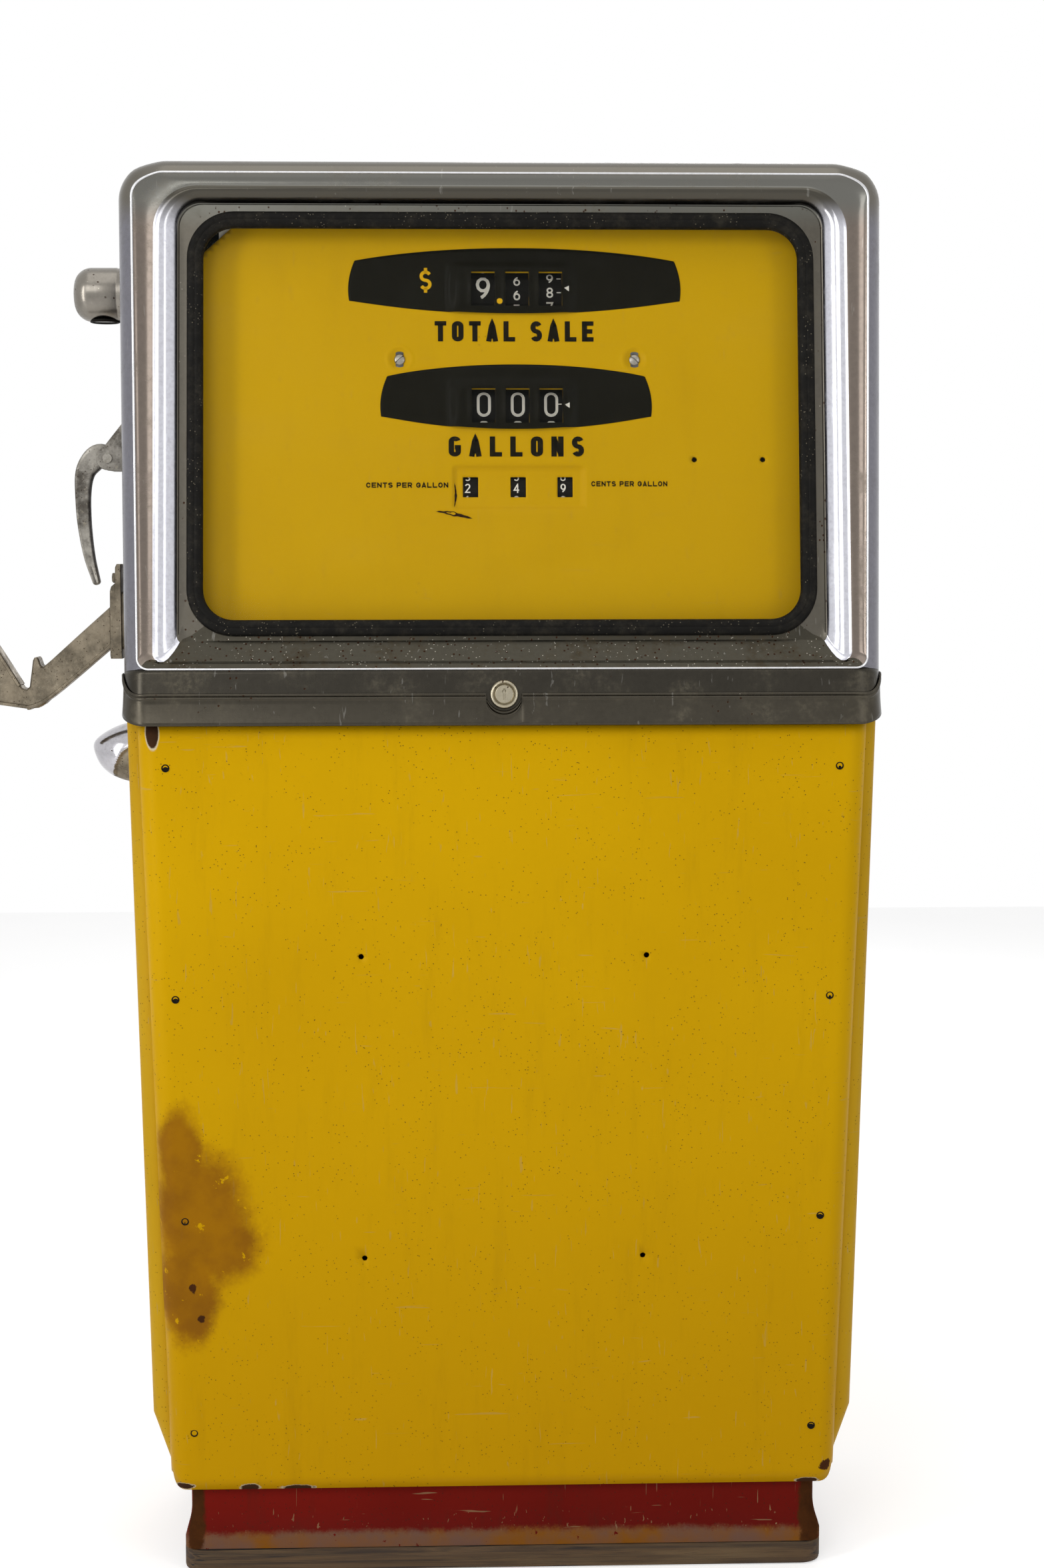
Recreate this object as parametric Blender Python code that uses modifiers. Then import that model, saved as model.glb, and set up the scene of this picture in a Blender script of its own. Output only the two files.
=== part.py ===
"""Gas pump: a sloped two-part cabinet with register, pumping set and nozzle fittings.

Metres, +Z up. The origin is the centre of the base board's underside, and the dial faces -Y.
The doors and the dial are laid out in a face frame: u across, v up along the sloped
face from the skirt's bottom edge, and w outwards from it.
"""
import math

import bmesh
import bpy
from mathutils import Matrix, Vector

# Clearances and sheet
GAP = 0.0003
RUNNING_GAP = 0.0004
SHEET = 0.0015

# Cabinet outline
HALF_WIDTH = 0.386
FLARE_START = 0.065
FLARE = 0.015
SKIRT_HALF_DEPTH = 0.240
SKIRT_BOTTOM = 0.925
WAIST = SKIRT_BOTTOM + 0.010
FACE_LEAN = math.radians(8.5)
FACE_HEIGHT = 0.585
DOOR_DEPTH = 0.062
FACE_CORNER = 0.042
FACE_EDGE_RADIUS = 0.030

# Base
BOARD_LENGTH = 2 * HALF_WIDTH - 0.078
BOARD_DEPTH = 0.306
BOARD_THICKNESS = 0.0257
BOARD_CORNER = 0.022
PAN_TOP = 0.097
PAN_FOOT_HEIGHT = 0.013
PAN_FLARE = 0.012
PAN_WALL = 0.003
PAN_CORNER = 0.014

# Lower panels
PANEL_SETBACK = 0.010
PANEL_TOP = SKIRT_BOTTOM - 0.001
PANEL_BOTTOM = 0.092
PANEL_RUN = 0.080209
PANEL_LEAN = math.atan2(PANEL_RUN, SKIRT_BOTTOM - PANEL_BOTTOM)
PANEL_HALF_TOP = HALF_WIDTH - 0.013
PANEL_HALF_BOTTOM = HALF_WIDTH - 0.025
PANEL_EDGE_RADIUS = 0.022
PANEL_FLANGE = 0.023
SIDE_HALF_TOP = HALF_WIDTH + 0.0005
SIDE_HALF_LOW = HALF_WIDTH - 0.0045
SIDE_TUCK_START = 0.168
SIDE_TUCK = 0.020
SIDE_BOTTOM = 0.100
SIDE_CORNER = 0.020
SIDE_FLANGE = 0.022
SCREW_HOLE_RADIUS = 0.0034

# Door window
WINDOW_HALF = HALF_WIDTH - 0.072
WINDOW_BOTTOM = 0.1015
WINDOW_TOP = FACE_HEIGHT - 0.0625
WINDOW_CORNER = 0.040
RECESS_DEPTH = 0.020
LIP = 0.0082
LIP_THICKNESS = 0.004
WEB_HALF = 0.0012
GLASS_THICKNESS = 0.003

# Skirt band and locks
BAND_HEIGHT = 0.031
BAND_THICKNESS = 0.0025
LOCK_HEIGHT = 0.0312
LOCK_RING_RADIUS = 0.0145
LOCK_BARREL_RADIUS = 0.0125
LOCK_PLUG_RADIUS = 0.0105
LOCK_BARREL_LENGTH = 0.030
LOCK_TAIL_RADIUS = 0.005
LOCK_CAM_DEPTH = DOOR_DEPTH + 0.008
LOCK_CAM_REACH = 0.025
LOCK_CAM_WIDTH = 0.012
HINGE_RADIUS = 0.003
HINGE_LENGTH = 2 * HALF_WIDTH - 0.152

# Dial and register
DIAL_DEPTH = 0.045
REGISTER_U = 0.0165
SALE_V = 0.4567
GALLON_V = 0.3345
PRICE_V = 0.2509
WHEEL_PITCH = 0.035
WHEEL_RADIUS = 0.048
WHEEL_WIDTH = 0.026
PRICE_PITCH = 0.049
PRICE_RADIUS = 0.020
PRICE_WIDTH = 0.018
WHEEL_CLEARANCE = 0.003
SHAFT_RADIUS = 0.004
FRAME_HALF = 0.122
FRAME_THICKNESS = 0.008
FRAME_DEPTH = 0.105
DIAL_SCREW_V = 0.384
DIAL_SCREW_RADIUS = 0.0025
LAMP_RADIUS = 0.008
LAMP_LENGTH = 2 * HALF_WIDTH - 0.212

# Inner frame and pumping set
POST_LEG = 0.030
POST_WALL = 0.003
POST_OUTER = HALF_WIDTH - 0.046
SHELF_THICKNESS = 0.002
SHELF_TOP = SKIRT_BOTTOM + 0.005
PUMP_X = 0.050
METER_X = -0.140
DRIVE_Z = 0.187
PUMP_RADIUS = 0.070
MOTOR_X = PUMP_X + PUMP_RADIUS + 0.115
MOTOR_RADIUS = 0.078
PULLEY_Y = -0.092
PULLEY_WIDTH = 0.020
PUMP_PULLEY_RADIUS = 0.080
MOTOR_PULLEY_RADIUS = 0.036
GROOVE_DEPTH = 0.009
BELT_WIDTH = 0.009
BELT_THICKNESS = 0.007
STUB_RADIUS = 0.008
SEPARATOR_RADIUS = 0.060
SEPARATOR_HEIGHT = 0.260
METER_RADIUS = 0.070
METER_HEIGHT = 0.100
METER_ARM = 0.110
PIPE_RADIUS = 0.0127
PIPE_X = 0.041 - HALF_WIDTH
SUCTION_X = PUMP_X + PUMP_RADIUS + 0.0175
SUCTION_RADIUS = 0.014
DRIVE_SHAFT_RADIUS = 0.006

# Left-hand fittings
OUTLET_Z = SKIRT_BOTTOM + 0.453
OUTLET_RADIUS = 0.029
OUTLET_REACH = 0.068
OUTLET_PORT_RADIUS = 0.013
FITTING_Y = -0.060
PIN_X = -HALF_WIDTH - 0.0323
PIN_Z = SKIRT_BOTTOM + 0.274
PIN_RADIUS = 0.005
LEVER_THICKNESS = 0.014
CHEEK = 0.006
HANGER_TOP = SKIRT_BOTTOM + 0.162
HANGER_BOTTOM = SKIRT_BOTTOM + 0.061
HANGER_FACE = 0.0297
HANGER_WIDTH = 0.040
ARM_WIDTH = 0.028
BOOT_Z = SKIRT_BOTTOM - 0.042
BOOT_REACH = 0.0505
BOOT_HALF_WIDTH = 0.042
BOOT_DROP = 0.036
BOOT_WALL = 0.003

COS, SIN = math.cos(FACE_LEAN), math.sin(FACE_LEAN)
FACE = Matrix.Translation((0, -SKIRT_HALF_DEPTH, SKIRT_BOTTOM)) @ Matrix.Rotation(-FACE_LEAN, 4, "X")
REAR_FACE = Matrix.Rotation(math.pi, 4, "Z") @ FACE
DIAL_BACK = DIAL_DEPTH + SHEET
DECK = PAN_TOP + GAP
SHELF_SEAT = SHELF_TOP + GAP

PAINTS = {
    "yellow": ((0.72, 0.46, 0.01), 0.35, 0.0),
    "stainless": ((0.62, 0.62, 0.63), 0.28, 1.0),
    "red": ((0.22, 0.02, 0.02), 0.6, 0.0),
    "wood": ((0.30, 0.19, 0.11), 0.8, 0.0),
    "rubber": ((0.03, 0.03, 0.035), 0.6, 0.0),
    "glass": ((0.9, 0.95, 0.95), 0.05, 0.0),
    "black": ((0.02, 0.02, 0.02), 0.4, 0.0),
    "cast": ((0.25, 0.23, 0.21), 0.55, 1.0),
    "frame": ((0.20, 0.21, 0.22), 0.6, 1.0),
    "aluminium": ((0.55, 0.55, 0.55), 0.45, 1.0),
    "green": ((0.10, 0.18, 0.14), 0.5, 0.0),
    "white": ((0.85, 0.85, 0.82), 0.4, 0.0),
}


def clear_scene():
    for obj in list(bpy.data.objects):
        bpy.data.objects.remove(obj, do_unlink=True)


def new_collection(name):
    found = bpy.data.collections.new(name)
    bpy.context.scene.collection.children.link(found)
    return found


def paint(node, name):
    """Each piece has a material of its own, named after it."""
    colour, roughness, metallic = PAINTS[name]
    made = bpy.data.materials.new(node)
    made.use_nodes = True
    shader = made.node_tree.nodes["Principled BSDF"]
    shader.inputs["Base Color"].default_value = (*colour, 1.0)
    shader.inputs["Roughness"].default_value = roughness
    shader.inputs["Metallic"].default_value = metallic
    return made


def add(name, mesh, finish, matrix=None, origin=None):
    """Links a mesh as a named piece. origin is the world point its object turns about."""
    matrix = matrix or Matrix()
    origin = Vector(origin) if origin is not None else matrix.translation
    mesh.transform(Matrix.Translation(-origin) @ matrix)
    obj = bpy.data.objects.new(name, mesh)
    obj.location = origin
    mesh.materials.clear()
    mesh.materials.append(paint(name, finish))
    mesh.shade_smooth()
    mesh.set_sharp_from_angle(angle=math.radians(35))
    PARTS.objects.link(obj)
    return obj


def cutter(name, mesh, matrix=None):
    mesh.transform(matrix or Matrix())
    obj = bpy.data.objects.new(name, mesh)
    obj.hide_render = True
    obj.display_type = "WIRE"
    CUTTERS.objects.link(obj)
    return obj


def boolean(obj, other, operation="DIFFERENCE"):
    modifier = obj.modifiers.new(operation.lower(), "BOOLEAN")
    modifier.operation = operation
    modifier.object = other
    modifier.solver = "EXACT"


def solidify(obj, thickness, inwards=True):
    modifier = obj.modifiers.new("wall", "SOLIDIFY")
    modifier.thickness = thickness
    modifier.offset = -1 if inwards else 1
    modifier.use_even_offset = True


def bevel(obj, width, segments=1):
    modifier = obj.modifiers.new("edges", "BEVEL")
    modifier.width = width
    modifier.segments = segments
    modifier.limit_method = "ANGLE"
    modifier.angle_limit = math.radians(50)


def finish_mesh(work, name):
    work.normal_update()
    bmesh.ops.recalc_face_normals(work, faces=work.faces)
    mesh = bpy.data.meshes.new(name)
    work.to_mesh(mesh)
    work.free()
    return mesh


def box(low, high):
    """A cuboid between two corners."""
    low, high = Vector(low), Vector(high)
    work = bmesh.new()
    bmesh.ops.create_cube(work, size=1.0)
    size = high - low
    bmesh.ops.scale(work, vec=size, verts=work.verts)
    bmesh.ops.translate(work, vec=(low + high) / 2, verts=work.verts)
    return finish_mesh(work, "box")


def rod(start, end, radius, sides=20):
    """A cylinder between two points."""
    start, end = Vector(start), Vector(end)
    along = end - start
    work = bmesh.new()
    bmesh.ops.create_cone(work, cap_ends=True, segments=sides, radius1=radius, radius2=radius,
                          depth=along.length)
    turn = along.to_track_quat("Z", "Y").to_matrix().to_4x4()
    work.transform(Matrix.Translation((start + end) / 2) @ turn)
    return finish_mesh(work, "rod")


def joined(meshes):
    """One mesh that holds several separate cutter shapes."""
    work = bmesh.new()
    for mesh in meshes:
        work.from_mesh(mesh)
    result = bpy.data.meshes.new("joined")
    work.to_mesh(result)
    work.free()
    return result


def mesh_from_curve(data, matrix=None):
    """The welded mesh of a curve with its caps."""
    guide = bpy.data.objects.new("guide", data)
    bpy.context.scene.collection.objects.link(guide)
    graph = bpy.context.evaluated_depsgraph_get()
    mesh = bpy.data.meshes.new_from_object(guide.evaluated_get(graph))
    bpy.data.objects.remove(guide, do_unlink=True)
    work = bmesh.new()
    work.from_mesh(mesh)
    bmesh.ops.remove_doubles(work, verts=work.verts, dist=0.00001)
    work.transform(matrix or Matrix())
    return finish_mesh(work, "curve")


def poly(data, points, closed):
    spline = data.splines.new("POLY")
    spline.points.add(len(points) - 1)
    for spot, point in zip(spline.points, points):
        spot.co = (*Vector(point).to_3d(), 1.0)
    spline.use_cyclic_u = closed


def prism(outlines, thickness):
    """A flat outline, with holes if more than one, centred on its own XY plane."""
    data = bpy.data.curves.new("outline", "CURVE")
    data.dimensions = "2D"
    data.fill_mode = "BOTH"
    data.extrude = thickness / 2
    for outline in outlines:
        poly(data, outline, True)
    return mesh_from_curve(data)


def pipe(points, radius):
    """A round bar along a path."""
    data = bpy.data.curves.new("path", "CURVE")
    data.dimensions = "3D"
    data.bevel_depth = radius
    data.bevel_resolution = 2
    data.use_fill_caps = True
    poly(data, points, False)
    return mesh_from_curve(data)


def across_x(outline, x0, x1, outlines=()):
    """An outline of (y, z) points, extruded from x0 to x1."""
    turn = Matrix(((0, 0, 1, (x0 + x1) / 2), (1, 0, 0, 0), (0, 1, 0, 0), (0, 0, 0, 1)))
    mesh = prism([outline, *outlines], abs(x1 - x0))
    mesh.transform(turn)
    return mesh


def across_y(outline, y0, y1, outlines=()):
    """An outline of (x, z) points, extruded from y0 to y1."""
    turn = Matrix(((1, 0, 0, 0), (0, 0, -1, (y0 + y1) / 2), (0, 1, 0, 0), (0, 0, 0, 1)))
    mesh = prism([outline, *outlines], abs(y1 - y0))
    mesh.transform(turn)
    return mesh


def across_z(outline, z0, z1, outlines=()):
    """An outline of (x, y) points, extruded from z0 to z1."""
    mesh = prism([outline, *outlines], abs(z1 - z0))
    mesh.transform(Matrix.Translation((0, 0, (z0 + z1) / 2)))
    return mesh


def turned(name, profile, finish, matrix, steps=24, origin=None):
    """A closed (radius, height) profile about the matrix's Z axis, listed clockwise."""
    work = bmesh.new()
    verts = [work.verts.new((radius, 0, height)) for radius, height in profile]
    ends = zip(verts, verts[1:] + verts[:1])
    for first, second in ends:
        if abs(first.co.x) + abs(second.co.x) > 1e-9:
            work.edges.new((first, second))
    mesh = bpy.data.meshes.new(name)
    work.to_mesh(mesh)
    work.free()
    obj = bpy.data.objects.new(name, mesh)
    PARTS.objects.link(obj)
    modifier = obj.modifiers.new("turn", "SCREW")
    modifier.steps = modifier.render_steps = steps
    modifier.use_merge_vertices = True
    modifier.merge_threshold = 0.00001
    mesh.materials.append(paint(name, finish))
    obj.matrix_world = matrix
    return obj


def ring(left, right, bottom, top, corner, steps=5):
    """Points round a rectangle with rounded corners, anticlockwise from the lower right."""
    points = []
    corners = ((right, bottom, -90), (right, top, 0), (left, top, 90), (left, bottom, 180))
    for x, z, start in corners:
        cx = x - corner if x == right else x + corner
        cz = z - corner if z == top else z + corner
        for step in range(steps + 1):
            angle = math.radians(start + 90 * step / steps)
            points.append((cx + corner * math.cos(angle), cz + corner * math.sin(angle)))
    return points


def loft(rings, caps=(False, False), loop=False, closed_rings=True):
    """Quads between matching rings of points, with optional end caps."""
    work = bmesh.new()
    rows = [[work.verts.new(point) for point in points] for points in rings]
    pairs = list(zip(rows, rows[1:])) + ([(rows[-1], rows[0])] if loop else [])
    count = len(rows[0])
    last = count if closed_rings else count - 1
    for lower, upper in pairs:
        for i in range(last):
            j = (i + 1) % count
            work.faces.new((lower[i], lower[j], upper[j], upper[i]))
    if caps[0]:
        work.faces.new(rows[0][::-1])
    if caps[1]:
        work.faces.new(rows[-1])
    return finish_mesh(work, "loft")


def smooth_path(points, steps=4):
    """A Catmull-Rom curve through points of any dimension."""
    points = [Vector(point) for point in points]
    ends = [2 * points[0] - points[1], *points, 2 * points[-1] - points[-2]]
    curve = []
    for a, b, c, d in zip(ends, ends[1:], ends[2:], ends[3:]):
        for step in range(steps):
            t = step / steps
            curve.append(0.5 * (2 * b + (c - a) * t + (2 * a - 5 * b + 4 * c - d) * t * t
                                + (3 * b - a - 3 * c + d) * t ** 3))
    return curve + [points[-1]]


def ribbon(points, steps=4):
    """The outline of a bar whose (x, z, width) centre line is given."""
    line = smooth_path(points, steps)
    left, right = [], []
    for i, spot in enumerate(line):
        ahead = line[min(i + 1, len(line) - 1)] - line[max(i - 1, 0)]
        side = Vector((-ahead.y, ahead.x)).normalized() * spot.z / 2
        left.append((spot.x + side.x, spot.y + side.y))
        right.append((spot.x - side.x, spot.y - side.y))
    return left + right[::-1]


def face_z(v, w):
    return SKIRT_BOTTOM + v * COS + w * SIN


def face_y(v, w):
    return -SKIRT_HALF_DEPTH + v * SIN - w * COS


def face_v(z, w):
    """How far up the face a height is, at depth w."""
    return (z - SKIRT_BOTTOM - w * SIN) / COS


def face_point(u, v, w, matrix=FACE):
    return matrix @ Vector((u, -w, v))


def door_foot(w):
    """Height of the door's lower edge: it rises round the corner towards the back."""
    return 0.55 * -w if -w < FACE_EDGE_RADIUS else 0.0165 + 0.12 * (-w - FACE_EDGE_RADIUS)


def face_ring(half, bottom, top, corner, w):
    return [(u, -w, v) for u, v in ring(-half, half, bottom, top, corner)]


def flared(u, v):
    """The upper cabinet widens a little towards its top."""
    return u + math.copysign(FLARE * max(0.0, v - FLARE_START), u)


# Base ------------------------------------------------------------------------------------

def build_base():
    plan = ring(-BOARD_LENGTH / 2, BOARD_LENGTH / 2, -BOARD_DEPTH / 2, BOARD_DEPTH / 2, BOARD_CORNER)
    add("base_board", across_z(plan, 0, BOARD_THICKNESS), "wood")

    bottom = BOARD_THICKNESS + GAP
    foot = bottom + PAN_FOOT_HEIGHT
    levels = ((bottom, 0.0), (foot, 0.0), (foot + 0.004, 0.45), (foot + 0.014, 0.85),
              (foot + 0.026, 1.0), (PAN_TOP, 1.0))
    rings = []
    for height, flare in levels:
        half_x = BOARD_LENGTH / 2 - 0.001 - flare * PAN_FLARE / 2
        half_y = BOARD_DEPTH / 2 - 0.001 - flare * PAN_FLARE
        plan = ring(-half_x, half_x, -half_y, half_y, PAN_CORNER)
        rings.append([(x, y, height) for x, y in plan])
    pan = add("base_pan", loft(rings, caps=(False, True)), "red")
    solidify(pan, PAN_WALL)
    hole = rod((SUCTION_X, 0, PAN_TOP - 0.02), (SUCTION_X, 0, PAN_TOP + 0.02), SUCTION_RADIUS + 0.004)
    boolean(pan, cutter("cut_suction_hole", hole))


# Lower cabinet ---------------------------------------------------------------------------

def panel_y(z):
    """Front face of the lower panel, which leans in towards the base."""
    return -SKIRT_HALF_DEPTH + PANEL_SETBACK + (SKIRT_BOTTOM - z) * math.tan(PANEL_LEAN)


def panel_half(z):
    share = (z - PANEL_BOTTOM) / (PANEL_TOP - PANEL_BOTTOM)
    return PANEL_HALF_BOTTOM + (PANEL_HALF_TOP - PANEL_HALF_BOTTOM) * share


def side_half(z):
    share = (z - SIDE_TUCK_START) / (WAIST - SIDE_TUCK_START)
    straight = SIDE_HALF_LOW + (SIDE_HALF_TOP - SIDE_HALF_LOW) * share
    tuck = max(0.0, (SIDE_TUCK_START - z) / (SIDE_TUCK_START - SIDE_BOTTOM))
    return straight - SIDE_TUCK * min(1.0, tuck * 1.05)


def side_front(z):
    """Where the side panel's front flange stands, behind the front panel's edge."""
    return panel_y(z) + PANEL_FLANGE + 0.0008


def quarter(centre_x, centre_y, radius, start, steps=4):
    for step in range(steps + 1):
        angle = math.radians(start + 90 * step / steps)
        yield centre_x + radius * math.cos(angle), centre_y + radius * math.sin(angle)


def panel_section(z):
    half, front, radius = panel_half(z), panel_y(z), PANEL_EDGE_RADIUS
    left = [(-half, front + PANEL_FLANGE), *quarter(radius - half, front + radius, radius, 180)]
    right = [(-x, y) for x, y in reversed(left)]
    return [(x, y, z) for x, y in left + right]


def hole_cutters(spots, length=0.06):
    return joined([rod((x, y - length, z), (x, y + length, z), SCREW_HOLE_RADIUS, 10)
                   for x, y, z in spots])


def build_lower_panel(name, matrix, face_holes):
    levels = (PANEL_TOP, (PANEL_TOP + PANEL_BOTTOM) / 2, PANEL_BOTTOM)
    panel = add(name, loft([panel_section(z) for z in levels], closed_rings=False), "yellow", matrix)
    solidify(panel, SHEET)
    edge_heights = (0.8815, 0.639, 0.3972, 0.1574)
    spots = [(side * (panel_half(z) - 0.007), panel_y(z), z) for z in edge_heights for side in (-1, 1)]
    if face_holes:
        spots += [(side * 0.1477, panel_y(z), z) for z in (0.6835, 0.3545) for side in (-1, 1)]
    boolean(panel, cutter("cut_" + name, hole_cutters(spots), matrix))
    return panel


def side_section(z):
    half, front, radius = side_half(z), side_front(z), SIDE_CORNER
    near = [(half - radius - SIDE_FLANGE, front), *quarter(half - radius, front + radius, radius, -90)]
    far = [(x, -y) for x, y in reversed(near)]
    return [(x, y, z) for x, y in near + far]


def build_side_panel(name, side):
    levels = (WAIST, 0.6, SIDE_TUCK_START, SIDE_TUCK_START - 0.012, SIDE_BOTTOM + 0.01, SIDE_BOTTOM)
    rows = [[(side * x, y, z) for x, y, z in side_section(z)] for z in levels]
    work = bmesh.new()
    work.from_mesh(loft(rows, closed_rings=False))
    # The open sheet's faces are turned so that the wall grows towards the inside.
    middle = max(work.faces, key=lambda face: abs(face.calc_center_median().x))
    if middle.normal.x * side < 0:
        bmesh.ops.reverse_faces(work, faces=work.faces)
    mesh = bpy.data.meshes.new(name)
    work.to_mesh(mesh)
    work.free()
    panel = add(name, mesh, "yellow")
    solidify(panel, SHEET)


def build_post(name, side, facing):
    """An angle post behind each corner, leaning with the side panels' flanges."""
    outer, leg, wall = POST_OUTER, POST_LEG, POST_WALL
    plan = ((outer, 0), (outer, leg), (outer - wall, leg), (outer - wall, wall), (outer - leg, wall),
            (outer - leg, 0))
    rows = []
    for z in (DECK, SHELF_TOP - SHELF_THICKNESS - GAP):
        front = side_front(z) + SHEET + RUNNING_GAP
        rows.append([(side * x, facing * (front + y), z) for x, y in plan])
    add(name, loft(rows, caps=(True, True)), "frame")


def lock_catch():
    """An upturned tab of the shelf that the lock's cam turns down behind."""
    top = LOCK_HEIGHT - LOCK_CAM_WIDTH / 2 - 0.0012
    low = SHELF_TOP - SHELF_THICKNESS / 2
    rear = face_y(LOCK_HEIGHT - LOCK_CAM_REACH, -LOCK_CAM_DEPTH) - 0.0006
    return box((-0.020, rear - 0.002, low), (0.020, rear, face_z(top, 0.0015 - LOCK_CAM_DEPTH)))


def lock_catch_slot():
    """A slot through the shelf behind the tab, where the cam's end passes down."""
    front = face_y(LOCK_HEIGHT - LOCK_CAM_REACH, -LOCK_CAM_DEPTH) - 0.0006
    low, high = SHELF_TOP - 2 * SHELF_THICKNESS, SHELF_TOP + SHELF_THICKNESS
    return box((-0.012, front, low), (LOCK_CAM_REACH + 0.002, front + 0.008, high))


def build_shelf():
    wide, narrow = side_half(SHELF_TOP) - SHEET - 0.0006, POST_OUTER + 0.006
    deep = -side_front(SHELF_TOP) - SHEET - RUNNING_GAP
    shallow = deep - SIDE_CORNER
    quarter_plan = [(wide, shallow), (narrow, shallow + 0.001), (narrow, deep), (-narrow, deep),
                    (-narrow, shallow + 0.001), (-wide, shallow)]
    plan = quarter_plan + [(x, -y) for x, y in reversed(quarter_plan)]
    shelf = add("middle_shelf", across_z(plan, SHELF_TOP - SHELF_THICKNESS, SHELF_TOP), "frame")
    holes = [rod((x, 0, SHELF_TOP - 0.03), (x, 0, SHELF_TOP + 0.03), radius, 16) for x, radius in
             ((PIPE_X, PIPE_RADIUS + 0.0006), (METER_X, DRIVE_SHAFT_RADIUS + 0.0006))]
    boolean(shelf, cutter("cut_shelf_holes", joined(holes)))
    boolean(shelf, cutter("add_lock_catch", lock_catch()), "UNION")
    boolean(shelf, cutter("cut_lock_catch_slot", lock_catch_slot()))


# Upper cabinet ---------------------------------------------------------------------------

def hood_edge():
    """Depth of the hood's sloped edges on the face frame, and the height of its crown."""
    depth = -(DOOR_DEPTH + RUNNING_GAP)
    return depth, face_z(FACE_HEIGHT, depth)


def wall_at(z):
    """Half width of the hood's flared side at a height."""
    return flared(HALF_WIDTH, face_v(z, hood_edge()[0]))


def build_hood():
    """Top and sides in one sheet, between the two sloped doors."""
    depth, crown = hood_edge()
    bottom = WAIST + GAP
    outline = [(HALF_WIDTH, bottom), (HALF_WIDTH, face_z(FLARE_START, depth))]
    outline += [(x, z) for x, z in quarter(HALF_WIDTH - FACE_CORNER, crown - FACE_CORNER, FACE_CORNER, 0, 6)]
    outline += [(-x, z) for x, z in reversed(outline)]
    rows = []
    for share in (-1, 1):
        rows.append([(flared(x, face_v(z, depth)), share * -face_y(face_v(z, depth), depth), z)
                     for x, z in outline])
    hood = add("hood", loft(rows, closed_rings=False), "stainless")
    solidify(hood, SHEET, inwards=True)
    hole = rod((-HALF_WIDTH - 0.02, 0, OUTLET_Z), (-HALF_WIDTH + 0.02, 0, OUTLET_Z), PIPE_RADIUS + 0.0006, 16)
    boolean(hood, cutter("cut_hood_outlet", hole))


def hinge_axis():
    """The hinge rod's place on the face: just above the door's top rear edge."""
    return FACE_HEIGHT + HINGE_RADIUS + RUNNING_GAP, -DOOR_DEPTH - 0.0002


def build_hinge(name, matrix):
    v0, w0 = hinge_axis()
    end = w0 - 0.016
    leaf_v = face_v(hood_edge()[1] + GAP, end)
    arc = [(w0 + HINGE_RADIUS * math.cos(math.radians(a)), v0 + HINGE_RADIUS * math.sin(math.radians(a)))
           for a in range(-90, 141, 20)]
    outline = [(-w, v) for w, v in arc]
    outline += [(-end, leaf_v + SHEET), (-end, leaf_v)]
    add(name, across_x(outline, -HINGE_LENGTH / 2, HINGE_LENGTH / 2), "stainless", matrix)


def build_bezel(name, matrix, pivot):
    """The pressed door frame: rounded flank and edge, slope into the recess, glazing flange."""
    radius, inner = FACE_EDGE_RADIUS, FACE_CORNER - 0.014
    rows = [(HALF_WIDTH, door_foot(-DOOR_DEPTH), FACE_HEIGHT, FACE_CORNER, -DOOR_DEPTH)]
    for degrees in (0, 30, 60, 90):
        out = radius * math.cos(math.radians(degrees))
        w = -radius + radius * math.sin(math.radians(degrees))
        corner = inner + (FACE_CORNER - inner) * out / radius
        rows.append((HALF_WIDTH - radius + out, door_foot(w), FACE_HEIGHT - radius + out, corner, w))
    rows += [
        (HALF_WIDTH - 0.034, 0.057, FACE_HEIGHT - 0.032, 0.026, -0.0005),
        (HALF_WIDTH - 0.055, 0.088, FACE_HEIGHT - 0.0463, 0.014, -RECESS_DEPTH),
        (WINDOW_HALF + LIP, WINDOW_BOTTOM - LIP, WINDOW_TOP + LIP, 0.040, -RECESS_DEPTH - 0.0005),
        (WINDOW_HALF + WEB_HALF + GAP, WINDOW_BOTTOM - WEB_HALF - GAP, WINDOW_TOP + WEB_HALF + GAP,
         WINDOW_CORNER + WEB_HALF + GAP, -RECESS_DEPTH - 0.0005),
    ]
    # The flank and its rounded edge flare; the recess and its flange stay square.
    rings = [[(flared(x, z) if index < 5 else x, y, z) for x, y, z in face_ring(*row)]
             for index, row in enumerate(rows)]
    frame = add(name, loft(rings), "stainless", matrix, pivot)
    turn_outwards(frame, matrix)
    solidify(frame, SHEET)
    return frame


def turn_outwards(obj, matrix):
    """Makes an open sheet face away from the cabinet, so that its wall grows inwards."""
    outward = matrix.to_3x3() @ Vector((0, -1, 0))
    work = bmesh.new()
    work.from_mesh(obj.data)
    total = sum((face.normal * face.calc_area() for face in work.faces), Vector())
    if total.dot(outward) < 0:
        bmesh.ops.reverse_faces(work, faces=work.faces)
    work.to_mesh(obj.data)
    work.free()


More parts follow.
